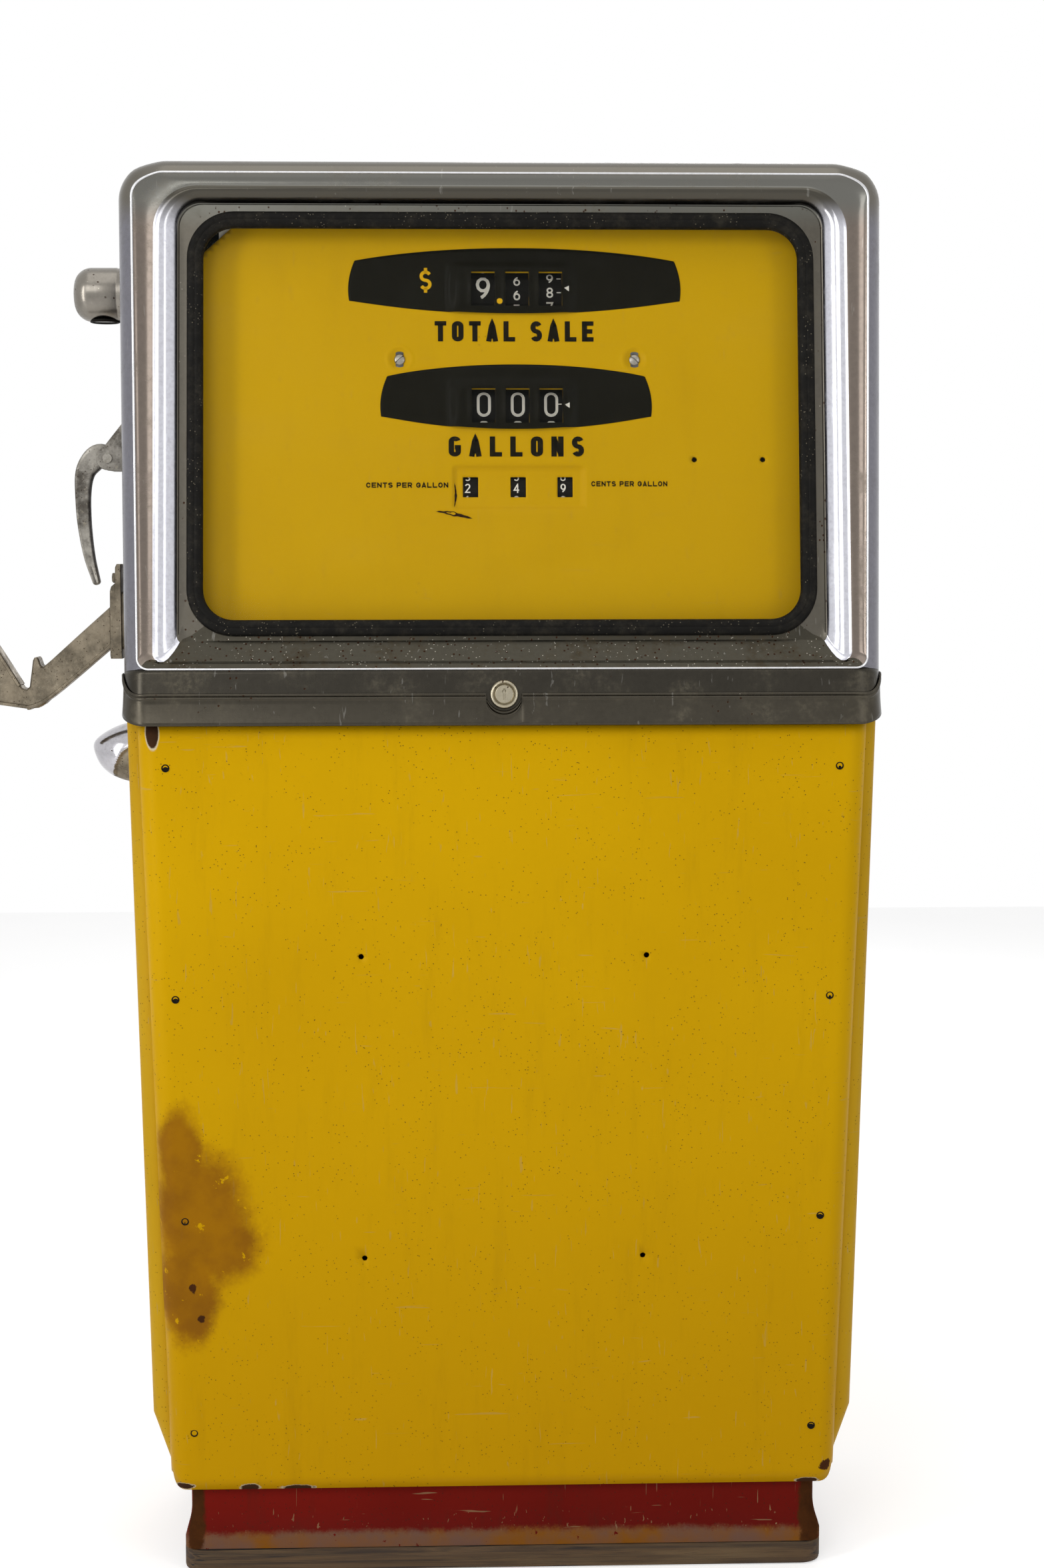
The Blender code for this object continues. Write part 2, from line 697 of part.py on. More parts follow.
def band_mesh(clear):
    """The skirt band: wraps the door's foot and rises round the corners, clear of its sheet."""
    reach = HALF_WIDTH + clear
    radius = FACE_EDGE_RADIUS + clear
    path = [(-reach, -DOOR_DEPTH + 0.002)]
    path += [(x, -y) for x, y in quarter(radius - reach, radius - clear, radius, 180, 3)]
    path += [(-x, w) for x, w in reversed(path)]
    rows = []
    for x, w in path:
        low = door_foot(min(w, 0.0)) + 0.0004
        high = low + BAND_HEIGHT + 0.12 * min(0.02, -min(w, 0.0))
        rows.append((x, w, low, high))
    rings = []
    for index, (x, w, low, high) in enumerate(rows):
        x0, w0 = rows[max(index - 1, 0)][:2]
        x1, w1 = rows[min(index + 1, len(rows) - 1)][:2]
        out = Vector((w0 - w1, x1 - x0)).normalized() * BAND_THICKNESS
        rings.append([(x, -w, low), (x + out.x, -w - out.y, low), (x + out.x, -w - out.y, high - 0.001),
                      (x, -w, high)])
    return loft(rings, caps=(True, True))


def build_gasket(name, matrix, pivot):
    """An H section that grips the door's flange outside and the glass inside."""
    front = -RECESS_DEPTH + LIP_THICKNESS + 0.001
    face = -RECESS_DEPTH + 0.001
    rear = face - GLASS_THICKNESS - 2 * GAP
    back = rear - LIP_THICKNESS
    section = ((-LIP, face), (-LIP + 0.002, front), (LIP - 0.002, front), (LIP, face), (WEB_HALF, face),
               (WEB_HALF, rear), (LIP - 0.001, rear), (LIP - 0.001, back), (-LIP + 0.001, back),
               (-LIP + 0.001, rear), (-WEB_HALF, rear), (-WEB_HALF, face))
    rows = [face_ring(WINDOW_HALF + out, WINDOW_BOTTOM - out, WINDOW_TOP + out, WINDOW_CORNER + out, w)
            for out, w in section]
    add(name, loft(rows, loop=True), "rubber", matrix, pivot)


def window_plate(out, w_front, thickness):
    """A rounded plate that fits the window, out beyond its middle line, back from w_front."""
    outline = ring(-WINDOW_HALF - out, WINDOW_HALF + out, WINDOW_BOTTOM - out, WINDOW_TOP + out,
                   WINDOW_CORNER + out)
    return across_y(outline, -w_front, -w_front + thickness)


def build_lock(matrix, pivot):
    """Lock body, turning plug with its tail and cam, all on the lock's own axis."""
    centre = face_point(0, LOCK_HEIGHT, 0, matrix)
    turn = Matrix.Translation(centre) @ matrix.to_3x3().to_4x4() @ Matrix.Rotation(math.pi / 2, 4, "X")
    front = BAND_THICKNESS + 0.0012
    bore = LOCK_PLUG_RADIUS + RUNNING_GAP
    body = [(LOCK_RING_RADIUS, front + 0.0035), (LOCK_RING_RADIUS, front),
            (LOCK_BARREL_RADIUS, front), (LOCK_BARREL_RADIUS, -LOCK_BARREL_LENGTH),
            (bore, -LOCK_BARREL_LENGTH), (bore, front + 0.0035)]
    turned("lock_body", body, "stainless", turn)
    plug = [(0, front + 0.003), (LOCK_PLUG_RADIUS, front + 0.003), (LOCK_PLUG_RADIUS, -LOCK_BARREL_LENGTH),
            (LOCK_TAIL_RADIUS, -LOCK_BARREL_LENGTH), (LOCK_TAIL_RADIUS, -LOCK_CAM_DEPTH + GAP),
            (0, -LOCK_CAM_DEPTH + GAP)]
    plug = turned("lock_plug", plug, "aluminium", turn)
    slot = box((-0.001, -0.0055, front - 0.004), (0.001, 0.0055, front + 0.01))
    boolean(plug, cutter("cut_keyway", slot, turn))
    half = LOCK_CAM_WIDTH / 2
    outline = [(-half, -half), (LOCK_CAM_REACH - 0.003, -half), (LOCK_CAM_REACH, -half + 0.003),
               (LOCK_CAM_REACH, half - 0.003), (LOCK_CAM_REACH - 0.003, half), (-half, half)]
    outline = [(x, z + LOCK_HEIGHT) for x, z in outline]
    cam = across_y(outline, LOCK_CAM_DEPTH, LOCK_CAM_DEPTH + 0.0025)
    add("lock_cam", cam, "frame", matrix, centre)


def build_door():
    pivot = face_point(0, *hinge_axis())
    bezel = build_bezel("front_bezel", FACE, pivot)
    band = add("skirt_band", band_mesh(2 * GAP), "stainless", FACE, pivot)
    hole = rod((0, 0.05, LOCK_HEIGHT), (0, -0.02, LOCK_HEIGHT), LOCK_BARREL_RADIUS + 0.0005)
    hole = cutter("cut_lock_hole", hole, FACE)
    boolean(bezel, hole)
    boolean(band, hole)
    build_gasket("glass_gasket", FACE, pivot)
    build_lock(FACE, pivot)
    build_hinge("door_hinge", FACE)
    front = -RECESS_DEPTH + 0.001 - GAP
    add("dial_glass", window_plate(-WEB_HALF - GAP, front, GLASS_THICKNESS), "glass", FACE, pivot)


def build_rear_cover():
    """The same pressing without window, hinge or lock, screwed over a plain plate."""
    cover = build_bezel("rear_bezel", REAR_FACE, None)
    boolean(cover, cutter("add_rear_band", band_mesh(-SHEET / 2), REAR_FACE), "UNION")
    seat = -RECESS_DEPTH - 0.0005 - SHEET - GAP
    add("rear_blank_plate", window_plate(LIP, seat, SHEET), "yellow", REAR_FACE)


# Dial and register -----------------------------------------------------------------------

def wheel_rows():
    """(name, v, radius, width, pitch) of each row of number wheels."""
    return (("sale", SALE_V, WHEEL_RADIUS, WHEEL_WIDTH, WHEEL_PITCH),
            ("gallon", GALLON_V, WHEEL_RADIUS, WHEEL_WIDTH, WHEEL_PITCH),
            ("price", PRICE_V, PRICE_RADIUS, PRICE_WIDTH, PRICE_PITCH))


def wheel_profile(radius, width):
    """Closed profile of a dished wheel, outer side first, from the top down."""
    bore = (SHAFT_RADIUS + GAP) / math.cos(math.pi / 24)
    half, web = width / 2, width / 2 - 0.006
    hub, rim = SHAFT_RADIUS + 0.006, radius - 0.004
    if rim - hub < 0.02:
        return [(radius, half), (radius, -half), (bore, -half), (bore, half)]
    return [(radius, half), (radius, -half), (rim, -half), (hub, -web), (bore, -half), (bore, half),
            (hub, web), (rim, half)]


def build_register():
    along_x = Matrix.Rotation(math.pi / 2, 4, "Y")
    face_turn = FACE.to_3x3().to_4x4()
    left, right = REGISTER_U - FRAME_HALF, REGISTER_U + FRAME_HALF
    for row, v, radius, width, pitch in wheel_rows():
        w = -DIAL_BACK - WHEEL_CLEARANCE - radius
        for number in range(3):
            centre = face_point(REGISTER_U + (number - 1) * pitch, v, w)
            name = f"{row}_wheel_{number + 1}"
            turn = Matrix.Translation(centre) @ face_turn @ along_x
            turned(name, wheel_profile(radius, width), "black", turn)
        inset = FRAME_THICKNESS / 2 + GAP
        shaft = rod(face_point(left + inset, v, w), face_point(right - inset, v, w), SHAFT_RADIUS)
        add(f"{row}_shaft", shaft, "frame")
    build_register_frames(left, right)


def build_register_frames(left, right):
    front, back = -DIAL_BACK - GAP, -DIAL_BACK - FRAME_DEPTH
    top = SALE_V + WHEEL_RADIUS
    foot_back, foot_top = 0.050, SHELF_TOP + 0.130
    sill, step = -DOOR_DEPTH - 0.004, 0.028
    outline = [(face_y(face_v(SHELF_SEAT, sill), sill), SHELF_SEAT),
               (face_y(step, sill), face_z(step, sill)), (face_y(step, front), face_z(step, front)),
               (face_y(top, front), face_z(top, front)), (face_y(top, back), face_z(top, back)),
               (face_y(0.2, back), face_z(0.2, back)), (foot_back, foot_top), (foot_back, SHELF_SEAT)]
    half = FRAME_THICKNESS / 2
    for name, u in (("register_frame_left", left), ("register_frame_right", right)):
        side = add(name, across_x(outline, u - half, u + half), "aluminium")
        hole = rod((u, DIAL_DEPTH - 0.01, DIAL_SCREW_V), (u, DIAL_BACK + 0.016, DIAL_SCREW_V),
                   DIAL_SCREW_RADIUS + 0.0005, 12)
        boolean(side, cutter("cut_" + name, hole, FACE))
    box_z = SKIRT_BOTTOM + 0.075
    low = (METER_X - 0.028, -0.030, box_z)
    high = (left - half - GAP, 0.030, box_z + 0.055)
    bevel(add("bevel_gearbox", box(low, high), "aluminium"), 0.004)
    shaft = rod((METER_X, 0, METER_TOP + GAP), (METER_X, 0, box_z - GAP), DRIVE_SHAFT_RADIUS, 16)
    add("register_drive_shaft", shaft, "frame", origin=(METER_X, 0, box_z))


def build_dial():
    plate = add("dial_face", window_plate(0.0, -DIAL_DEPTH, SHEET), "yellow", FACE)
    windows = []
    for v, width, height, pitch in ((SALE_V, 0.0245, 0.036, WHEEL_PITCH),
                                    (GALLON_V, 0.0245, 0.036, WHEEL_PITCH),
                                    (PRICE_V, 0.0158, 0.021, PRICE_PITCH)):
        for number in range(3):
            u = REGISTER_U + (number - 1) * pitch
            windows.append(box((u - width / 2, DIAL_DEPTH - 0.01, v - height / 2),
                               (u + width / 2, DIAL_DEPTH + 0.01, v + height / 2)))
    for side in (-1, 1):
        u = REGISTER_U + side * FRAME_HALF
        windows.append(rod((u, DIAL_DEPTH - 0.01, DIAL_SCREW_V), (u, DIAL_DEPTH + 0.01, DIAL_SCREW_V),
                           DIAL_SCREW_RADIUS + 0.0004, 12))
        head = DIAL_DEPTH - GAP
        profile = [(0, 0.003), (0.004, 0.003), (0.0058, 0.0012), (0.0058, 0), (DIAL_SCREW_RADIUS, 0),
                   (DIAL_SCREW_RADIUS, -0.014), (0, -0.014)]
        centre = face_point(u, DIAL_SCREW_V, -head)
        turn = Matrix.Translation(centre) @ FACE.to_3x3().to_4x4() @ Matrix.Rotation(math.pi / 2, 4, "X")
        turned(f"dial_screw_{'left' if side < 0 else 'right'}", profile, "aluminium", turn, 16)
    boolean(plate, cutter("cut_dial_windows", joined(windows), FACE))
    build_lamp()


def build_lamp():
    v, w = WINDOW_TOP + 0.027, -DIAL_DEPTH
    tube = rod((-LAMP_LENGTH / 2, -w, v), (LAMP_LENGTH / 2, -w, v), LAMP_RADIUS, 14)
    add("dial_lamp_tube", tube, "white", FACE)
    low, sill = WINDOW_TOP - 0.012, WINDOW_TOP + 0.003
    rear, front = DIAL_BACK + GAP, DIAL_DEPTH - 0.010
    outline = [(rear + 0.010, low), (rear, low), (rear, sill), (front, sill), (front, v + 0.011),
               (rear + 0.010, v + 0.011)]
    for side, name in ((-1, "lampholder_left"), (1, "lampholder_right")):
        start = side * (LAMP_LENGTH / 2 + GAP)
        add(name, across_x(outline, start, start + side * 0.012), "white", FACE)


# Pumping set -----------------------------------------------------------------------------

METER_BOTTOM = DECK + SEPARATOR_HEIGHT + GAP
METER_TOP = METER_BOTTOM + METER_HEIGHT


def pulley_profile(radius, bore):
    half, mouth = PULLEY_WIDTH / 2, BELT_WIDTH / 2 + 0.002
    floor = radius - GROOVE_DEPTH
    return [(radius, half), (radius, mouth), (floor, mouth - 0.001), (floor, -mouth + 0.001),
            (radius, -mouth), (radius, -half), (bore, -half), (bore, half)]


def build_machine(name, x, radius, y0, y1, foot, finish):
    """A round casing on a foot, with its shaft stub towards the front."""
    body = add(name, rod((x, y0, DRIVE_Z), (x, y1, DRIVE_Z), radius, 28), finish)
    base = box((x - foot / 2, y0 + 0.01, DECK), (x + foot / 2, y1 - 0.01, DRIVE_Z - radius * 0.6))
    stub = rod((x, PULLEY_Y - PULLEY_WIDTH, DRIVE_Z), (x, y0 + 0.01, DRIVE_Z), STUB_RADIUS, 20)
    boolean(body, cutter("add_" + name + "_foot", base), "UNION")
    boolean(body, cutter("add_" + name + "_shaft", stub), "UNION")


def build_pulley(name, x, radius):
    bore = (STUB_RADIUS + GAP) / math.cos(math.pi / 28)
    turn = Matrix.Translation((x, PULLEY_Y, DRIVE_Z)) @ Matrix.Rotation(math.pi / 2, 4, "X")
    turned(name, pulley_profile(radius, bore), "frame", turn, 28)


def belt_outline(extra, steps=14):
    """The loop round both pulleys, extra outside their groove floors."""
    large = PUMP_PULLEY_RADIUS - GROOVE_DEPTH + extra
    small = MOTOR_PULLEY_RADIUS - GROOVE_DEPTH + extra
    tilt = math.acos((large - small) / (MOTOR_X - PUMP_X))
    points = []
    for x, radius, start, end in ((PUMP_X, large, tilt, 2 * math.pi - tilt),
                                  (MOTOR_X, small, -tilt, tilt)):
        reach = radius / math.cos((end - start) / steps / 2)
        for step in range(steps + 1):
            angle = start + (end - start) * step / steps
            points.append((x + reach * math.cos(angle), DRIVE_Z + reach * math.sin(angle)))
    return points


def build_belt():
    inner, outer = belt_outline(RUNNING_GAP), belt_outline(RUNNING_GAP + BELT_THICKNESS)
    half = BELT_WIDTH / 2
    add("drive_belt", across_y(outer, PULLEY_Y - half, PULLEY_Y + half, [inner]), "rubber")


def build_meter():
    tank = (METER_X, 0, DECK)
    body = add("air_separator", rod(tank, (METER_X, 0, METER_BOTTOM - GAP), SEPARATOR_RADIUS, 24), "green")
    bevel(body, 0.006)
    meter = add("flow_meter", rod((METER_X, 0, METER_BOTTOM), (METER_X, 0, METER_TOP), METER_RADIUS, 24),
                "aluminium")
    middle = (METER_BOTTOM + METER_TOP) / 2
    arms = (((-METER_ARM, 0), (METER_ARM, 0)), ((0, -METER_ARM), (0, METER_ARM)))
    for name, ((x0, y0), (x1, y1)) in zip(("across", "along"), arms):
        arm = rod((METER_X + x0, y0, middle), (METER_X + x1, y1, middle), 0.036, 20)
        boolean(meter, cutter("add_meter_arm_" + name, arm), "UNION")


def elbow(start, corner, end, radius, steps=5):
    """A path from start to end that turns at corner on an arc."""
    start, corner, end = Vector(start), Vector(corner), Vector(end)
    into, out = (corner - start).normalized(), (end - corner).normalized()
    centre = corner + (out - into) * radius
    points = [start]
    for step in range(steps + 1):
        angle = math.pi / 2 * step / steps
        points.append(centre + (into * math.sin(angle) - out * math.cos(angle)) * radius)
    return points + [end]


def build_pipes():
    middle = (METER_BOTTOM + METER_TOP) / 2
    lower = elbow((METER_X - METER_ARM - GAP, 0, middle), (PIPE_X, 0, middle), (PIPE_X, 0, 1.0), 0.030)
    upper = elbow((PIPE_X, 0, 1.0), (PIPE_X, 0, OUTLET_Z), (0.0004 - wall_at(OUTLET_Z), 0, OUTLET_Z), 0.026)
    add("discharge_pipe", pipe(lower[:-1] + upper[1:], PIPE_RADIUS), "frame")
    rise = elbow((SUCTION_X, 0, BOARD_THICKNESS + 0.004), (SUCTION_X, 0, DRIVE_Z),
                 (PUMP_X + PUMP_RADIUS * 0.9, 0, DRIVE_Z), 0.016)
    rise[-1] = Vector((PUMP_X + PUMP_RADIUS + RUNNING_GAP, 0, DRIVE_Z))
    add("suction_pipe", pipe(rise, SUCTION_RADIUS), "frame")
    link = rod((METER_X + SEPARATOR_RADIUS - 0.010, 0, DRIVE_Z),
               (PUMP_X - PUMP_RADIUS - RUNNING_GAP, 0, DRIVE_Z), SUCTION_RADIUS, 16)
    boolean(bpy.data.objects["air_separator"], cutter("add_transfer_pipe", link), "UNION")


def build_pumping_set():
    build_machine("pump_unit", PUMP_X, PUMP_RADIUS, -0.055, 0.050, 0.110, "green")
    build_machine("motor", MOTOR_X, MOTOR_RADIUS, -0.055, 0.100, 0.120, "green")
    build_pulley("pump_pulley", PUMP_X, PUMP_PULLEY_RADIUS)
    build_pulley("motor_pulley", MOTOR_X, MOTOR_PULLEY_RADIUS)
    build_belt()
    build_meter()
    build_pipes()


# Left-hand fittings ----------------------------------------------------------------------

def build_outlet():
    """A domed housing on the side wall, with its hose port underneath."""
    start, reach, radius = GAP, OUTLET_REACH, OUTLET_RADIUS
    round_off = 0.019
    dome = [(radius - round_off + x, reach - round_off + z) for x, z in quarter(0, 0, round_off, 0)]
    profile = [(0, reach), *reversed(dome[:-1]), (radius, start), (0, start)]
    profile.insert(1, dome[-1])
    wall = -wall_at(OUTLET_Z + radius)
    turn = Matrix.Translation((wall, 0, OUTLET_Z)) @ Matrix.Rotation(-math.pi / 2, 4, "Y")
    housing = turned("hose_outlet", profile, "stainless", turn, 24)
    port_x = wall - 0.036
    port = rod((port_x, 0, OUTLET_Z - radius - 0.01), (port_x, 0, OUTLET_Z + 0.004), OUTLET_PORT_RADIUS, 20)
    boolean(housing, cutter("cut_hose_port", port))


def build_lever():
    wall = -wall_at(PIN_Z + 0.044) - GAP
    boss = [(PIN_X + 0.0125 * math.cos(a), PIN_Z + 0.0125 * math.sin(a))
            for a in (math.radians(d) for d in range(110, 271, 20))]
    outline = [(wall, PIN_Z + 0.044), (wall - 0.008, PIN_Z + 0.043), *boss,
               (PIN_X + 0.004, PIN_Z - 0.0135), (wall, PIN_Z - 0.0135)]
    half, cheek = LEVER_THICKNESS / 2 + GAP, CHEEK
    bracket = add("lever_bracket", across_y(outline, FITTING_Y - half - cheek, FITTING_Y + half + cheek),
                  "cast")
    slot = box((PIN_X - 0.03, FITTING_Y - half, PIN_Z - 0.03), (PIN_X + 0.0165, FITTING_Y + half, PIN_Z + 0.06))
    boolean(bracket, cutter("cut_lever_slot", slot))
    hole = rod((PIN_X, FITTING_Y - 0.03, PIN_Z), (PIN_X, FITTING_Y + 0.03, PIN_Z), PIN_RADIUS + 0.0004, 20)
    pin_hole = cutter("cut_pin_hole", hole)
    boolean(bracket, pin_hole)
    reach = half + cheek + 0.002
    pin = rod((PIN_X, FITTING_Y - reach, PIN_Z), (PIN_X, FITTING_Y + reach, PIN_Z), PIN_RADIUS, 20)
    add("lever_pin", pin, "stainless")
    shape = ((0.011, -0.004, 0.020), (0, 0, 0.026), (-0.016, 0.001, 0.025), (-0.026, -0.014, 0.020),
             (-0.0283, -0.036, 0.0165), (-0.027, -0.068, 0.0145), (-0.0225, -0.103, 0.0115),
             (-0.0158, -0.133, 0.0075))
    line = [(PIN_X + x, PIN_Z + z, width) for x, z, width in shape]
    lever = across_y(ribbon(line), FITTING_Y - LEVER_THICKNESS / 2, FITTING_Y + LEVER_THICKNESS / 2)
    lever = add("operating_lever", lever, "cast", origin=(PIN_X, FITTING_Y, PIN_Z))
    boolean(lever, pin_hole)


def build_hanger():
    wall = -wall_at(HANGER_TOP) - GAP
    face = wall - HANGER_FACE
    half = HANGER_WIDTH / 2
    split = face + 0.012
    pad = box((split - 0.002, FITTING_Y - half + 0.004, HANGER_BOTTOM + 0.01),
              (wall, FITTING_Y + half - 0.004, HANGER_TOP - 0.03))
    outline = [(face, HANGER_BOTTOM), (split, HANGER_BOTTOM), (split, HANGER_TOP), (face + 0.006, HANGER_TOP),
               (face + 0.006, HANGER_TOP - 0.020), (face, HANGER_TOP - 0.024)]
    plate = across_y(outline, FITTING_Y - half, FITTING_Y + half)
    boolean(add("hanger_plate", plate, "cast"), cutter("add_hanger_pad", pad), "UNION")
    root = face - GAP
    arm = [(0, 0.045), (0.074, 0.11), (0.078, 0.0995), (0.083, 0.1005), (0.093, 0.134),
           (0.122, 0.09), (0.14, 0.061), (0.148, 0.066), (0.127, 0.109), (0.123, 0.15),
           (0.0795, 0.1545), (0.0655, 0.143), (0, 0.0885)]
    arm = [(root - x, HANGER_TOP - drop) for x, drop in arm]
    half = ARM_WIDTH / 2
    add("hanger_arm", across_y(arm, FITTING_Y - half, FITTING_Y + half), "cast")


def ellipsoid(centre, radii, segments=20, rings=12):
    work = bmesh.new()
    bmesh.ops.create_uvsphere(work, u_segments=segments, v_segments=rings, radius=1.0)
    work.transform(Matrix.Translation(centre) @ Matrix.Diagonal((*radii, 1.0)))
    return finish_mesh(work, "ellipsoid")


def build_boot():
    """A polished scoop on the side wall, open upwards for the nozzle's spout."""
    wall = -side_half(BOOT_Z + BOOT_DROP) - GAP
    centre = Vector((wall + 0.004, FITTING_Y, BOOT_Z))
    radii = Vector((BOOT_REACH + 0.004, BOOT_HALF_WIDTH, BOOT_DROP))
    boot = add("spout_boot", ellipsoid(centre, radii), "stainless")
    inside = radii - Vector((BOOT_WALL, BOOT_WALL, BOOT_WALL))
    boolean(boot, cutter("cut_boot_hollow", ellipsoid(centre, inside)))
    boolean(boot, cutter("cut_boot_wall", box((wall, FITTING_Y - 0.1, BOOT_Z - 0.1),
                                              (wall + 0.1, FITTING_Y + 0.1, BOOT_Z + 0.1))))
    mouth = [(wall + 0.02, BOOT_Z + 0.046), (wall - BOOT_REACH - 0.02, BOOT_Z),
             (wall - BOOT_REACH - 0.02, BOOT_Z + 0.12), (wall + 0.02, BOOT_Z + 0.12)]
    boolean(boot, cutter("cut_boot_mouth", across_y(mouth, FITTING_Y - 0.08, FITTING_Y + 0.08)))


def build_all():
    build_base()
    build_lower_panel("front_panel", Matrix(), True)
    build_lower_panel("rear_panel", Matrix.Rotation(math.pi, 4, "Z"), False)
    for name, side in (("left", -1), ("right", 1)):
        build_side_panel("side_panel_" + name, side)
        build_post("front_post_" + name, side, 1)
        build_post("rear_post_" + name, side, -1)
    build_shelf()
    build_hood()
    build_door()
    build_rear_cover()
    build_dial()
    build_register()
    build_pumping_set()
    build_outlet()
    build_lever()
    build_hanger()
    build_boot()


clear_scene()
PARTS = new_collection("gas_pump")
CUTTERS = new_collection("cutters")
build_all()
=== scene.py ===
"""Looks of a gas pump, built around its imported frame.

Metres, +Z up, the dial faces -Y. Doors and dial are laid out in a face frame: u across,
v up the sloped face from the skirt's bottom edge, and w outwards from it.
"""
import logging
import math
from dataclasses import dataclass, field
from enum import Enum
from typing import Callable, Iterable, Optional, Sequence

import bmesh
import bpy
import numpy as np
from mathutils import Matrix, Vector


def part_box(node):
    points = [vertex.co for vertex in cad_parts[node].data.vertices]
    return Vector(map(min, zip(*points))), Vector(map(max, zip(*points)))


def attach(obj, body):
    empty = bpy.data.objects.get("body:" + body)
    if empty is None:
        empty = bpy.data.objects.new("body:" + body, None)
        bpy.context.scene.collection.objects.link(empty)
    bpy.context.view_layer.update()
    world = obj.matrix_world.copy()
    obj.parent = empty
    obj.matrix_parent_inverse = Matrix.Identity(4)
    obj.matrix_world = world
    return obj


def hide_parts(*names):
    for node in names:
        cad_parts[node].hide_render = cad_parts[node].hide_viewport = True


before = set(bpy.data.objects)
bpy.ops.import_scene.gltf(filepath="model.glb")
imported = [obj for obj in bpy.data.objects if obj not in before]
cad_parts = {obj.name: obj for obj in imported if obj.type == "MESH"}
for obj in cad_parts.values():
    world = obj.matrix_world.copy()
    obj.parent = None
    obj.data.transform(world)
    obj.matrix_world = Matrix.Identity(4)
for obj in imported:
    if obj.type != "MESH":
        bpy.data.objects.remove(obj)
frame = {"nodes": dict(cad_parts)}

Array = np.ndarray
LOG = logging.getLogger("gas_pump")

LEAN = math.radians(8.5)
SIN, COS = math.sin(LEAN), math.cos(LEAN)
SKIRT_HALF_DEPTH, SKIRT_BOTTOM = 0.240, 0.925
HALF_WIDTH, FLARE_START, FLARE = 0.386, 0.065, 0.015
FACE_TOP, DOOR_DEPTH, EDGE = 0.585, 0.062, 0.030
WINDOW_HALF, WINDOW_LOW, WINDOW_HIGH, WINDOW_CORNER = 0.314, 0.1015, 0.5225, 0.040
DIAL_W = -0.045
SHEET = 0.0012


class Facing(Enum):
    """Which side of the pump a door or panel is on."""
    FRONT = 1
    REAR = -1


class Side(Enum):
    """Left or right, as the dial's reader sees it."""
    LEFT = -1
    RIGHT = 1


# Shapes ----------------------------------------------------------------------------------

def place(u: Array, v: Array, w: Array, facing: Facing = Facing.FRONT) -> Array:
    """Face frame to world: y = -D + v sin a - w cos a, z = B + v cos a + w sin a.

    Args:
        u: distance across, to the reader's right.
        v: distance up the slope.
        w: distance outwards.
        facing: the rear face is the front one turned half round about Z.
    Returns:
        Points of shape (..., 3).
    """
    u, v, w = np.broadcast_arrays(np.asarray(u, float), np.asarray(v, float), np.asarray(w, float))
    y = -SKIRT_HALF_DEPTH + v * SIN - w * COS
    z = SKIRT_BOTTOM + v * COS + w * SIN
    return np.stack([u * facing.value, y * facing.value, z], -1)


def smooth(low: float, high: float, x: Array) -> Array:
    """0 below low, 1 above high, and 3t^2 - 2t^3 between them."""
    t = np.clip((np.asarray(x, float) - low) / (high - low), 0.0, 1.0)
    return t * t * (3.0 - 2.0 * t)


# Solidify can push a few points at the door's upper corners out by this much.
WALL_SLACK = 0.0006


def flared(u: Array, v: Array) -> Array:
    """The upper cabinet's width grows by FLARE for each metre above FLARE_START."""
    return u + np.sign(u) * FLARE * np.maximum(0.0, v - FLARE_START)


def wall_at(z: float) -> float:
    """Half width of the hood's outer face at a height."""
    v = (z - SKIRT_BOTTOM + (DOOR_DEPTH + 0.0004) * SIN) / COS
    return HALF_WIDTH + FLARE * max(0.0, v - FLARE_START)


def arc(cx: float, cy: float, rx: float, ry: float, start: float, end: float, steps: int = 10) -> Array:
    """Points (cx + rx cos t, cy + ry sin t) with t from start to end, in degrees."""
    t = np.radians(np.linspace(start, end, steps + 1))
    return np.stack([cx + rx * np.cos(t), cy + ry * np.sin(t)], -1)


def rounded(half: float, low: float, high: float, top: float, foot: float, steps: int = 14,
            side: int = 30) -> Array:
    """A rectangle with rounded corners, from the bottom's middle round anticlockwise.

    Straight runs are divided evenly, and each corner is a quarter circle.

    Args:
        half: half the width. low, high: lower and upper edge.
        top: radius of the two upper corners. foot: radius of the two lower ones.
        steps: pieces in a corner. side: pieces in a straight run.
    Returns:
        Points of shape (n, 2), the same n for every rectangle.
    """
    share = np.linspace(0.0, 1.0, side + 1)[1:-1, None]
    corners = [arc(half - foot, low + foot, foot, foot, -90, 0, steps),
               arc(half - top, high - top, top, top, 0, 90, steps),
               arc(top - half, high - top, top, top, 90, 180, steps),
               arc(foot - half, low + foot, foot, foot, 180, 270, steps)]
    runs = []
    for corner, following in zip(corners, corners[1:] + corners[:1]):
        runs += [corner, corner[-1] + (following[0] - corner[-1]) * share]
    return np.concatenate(runs)


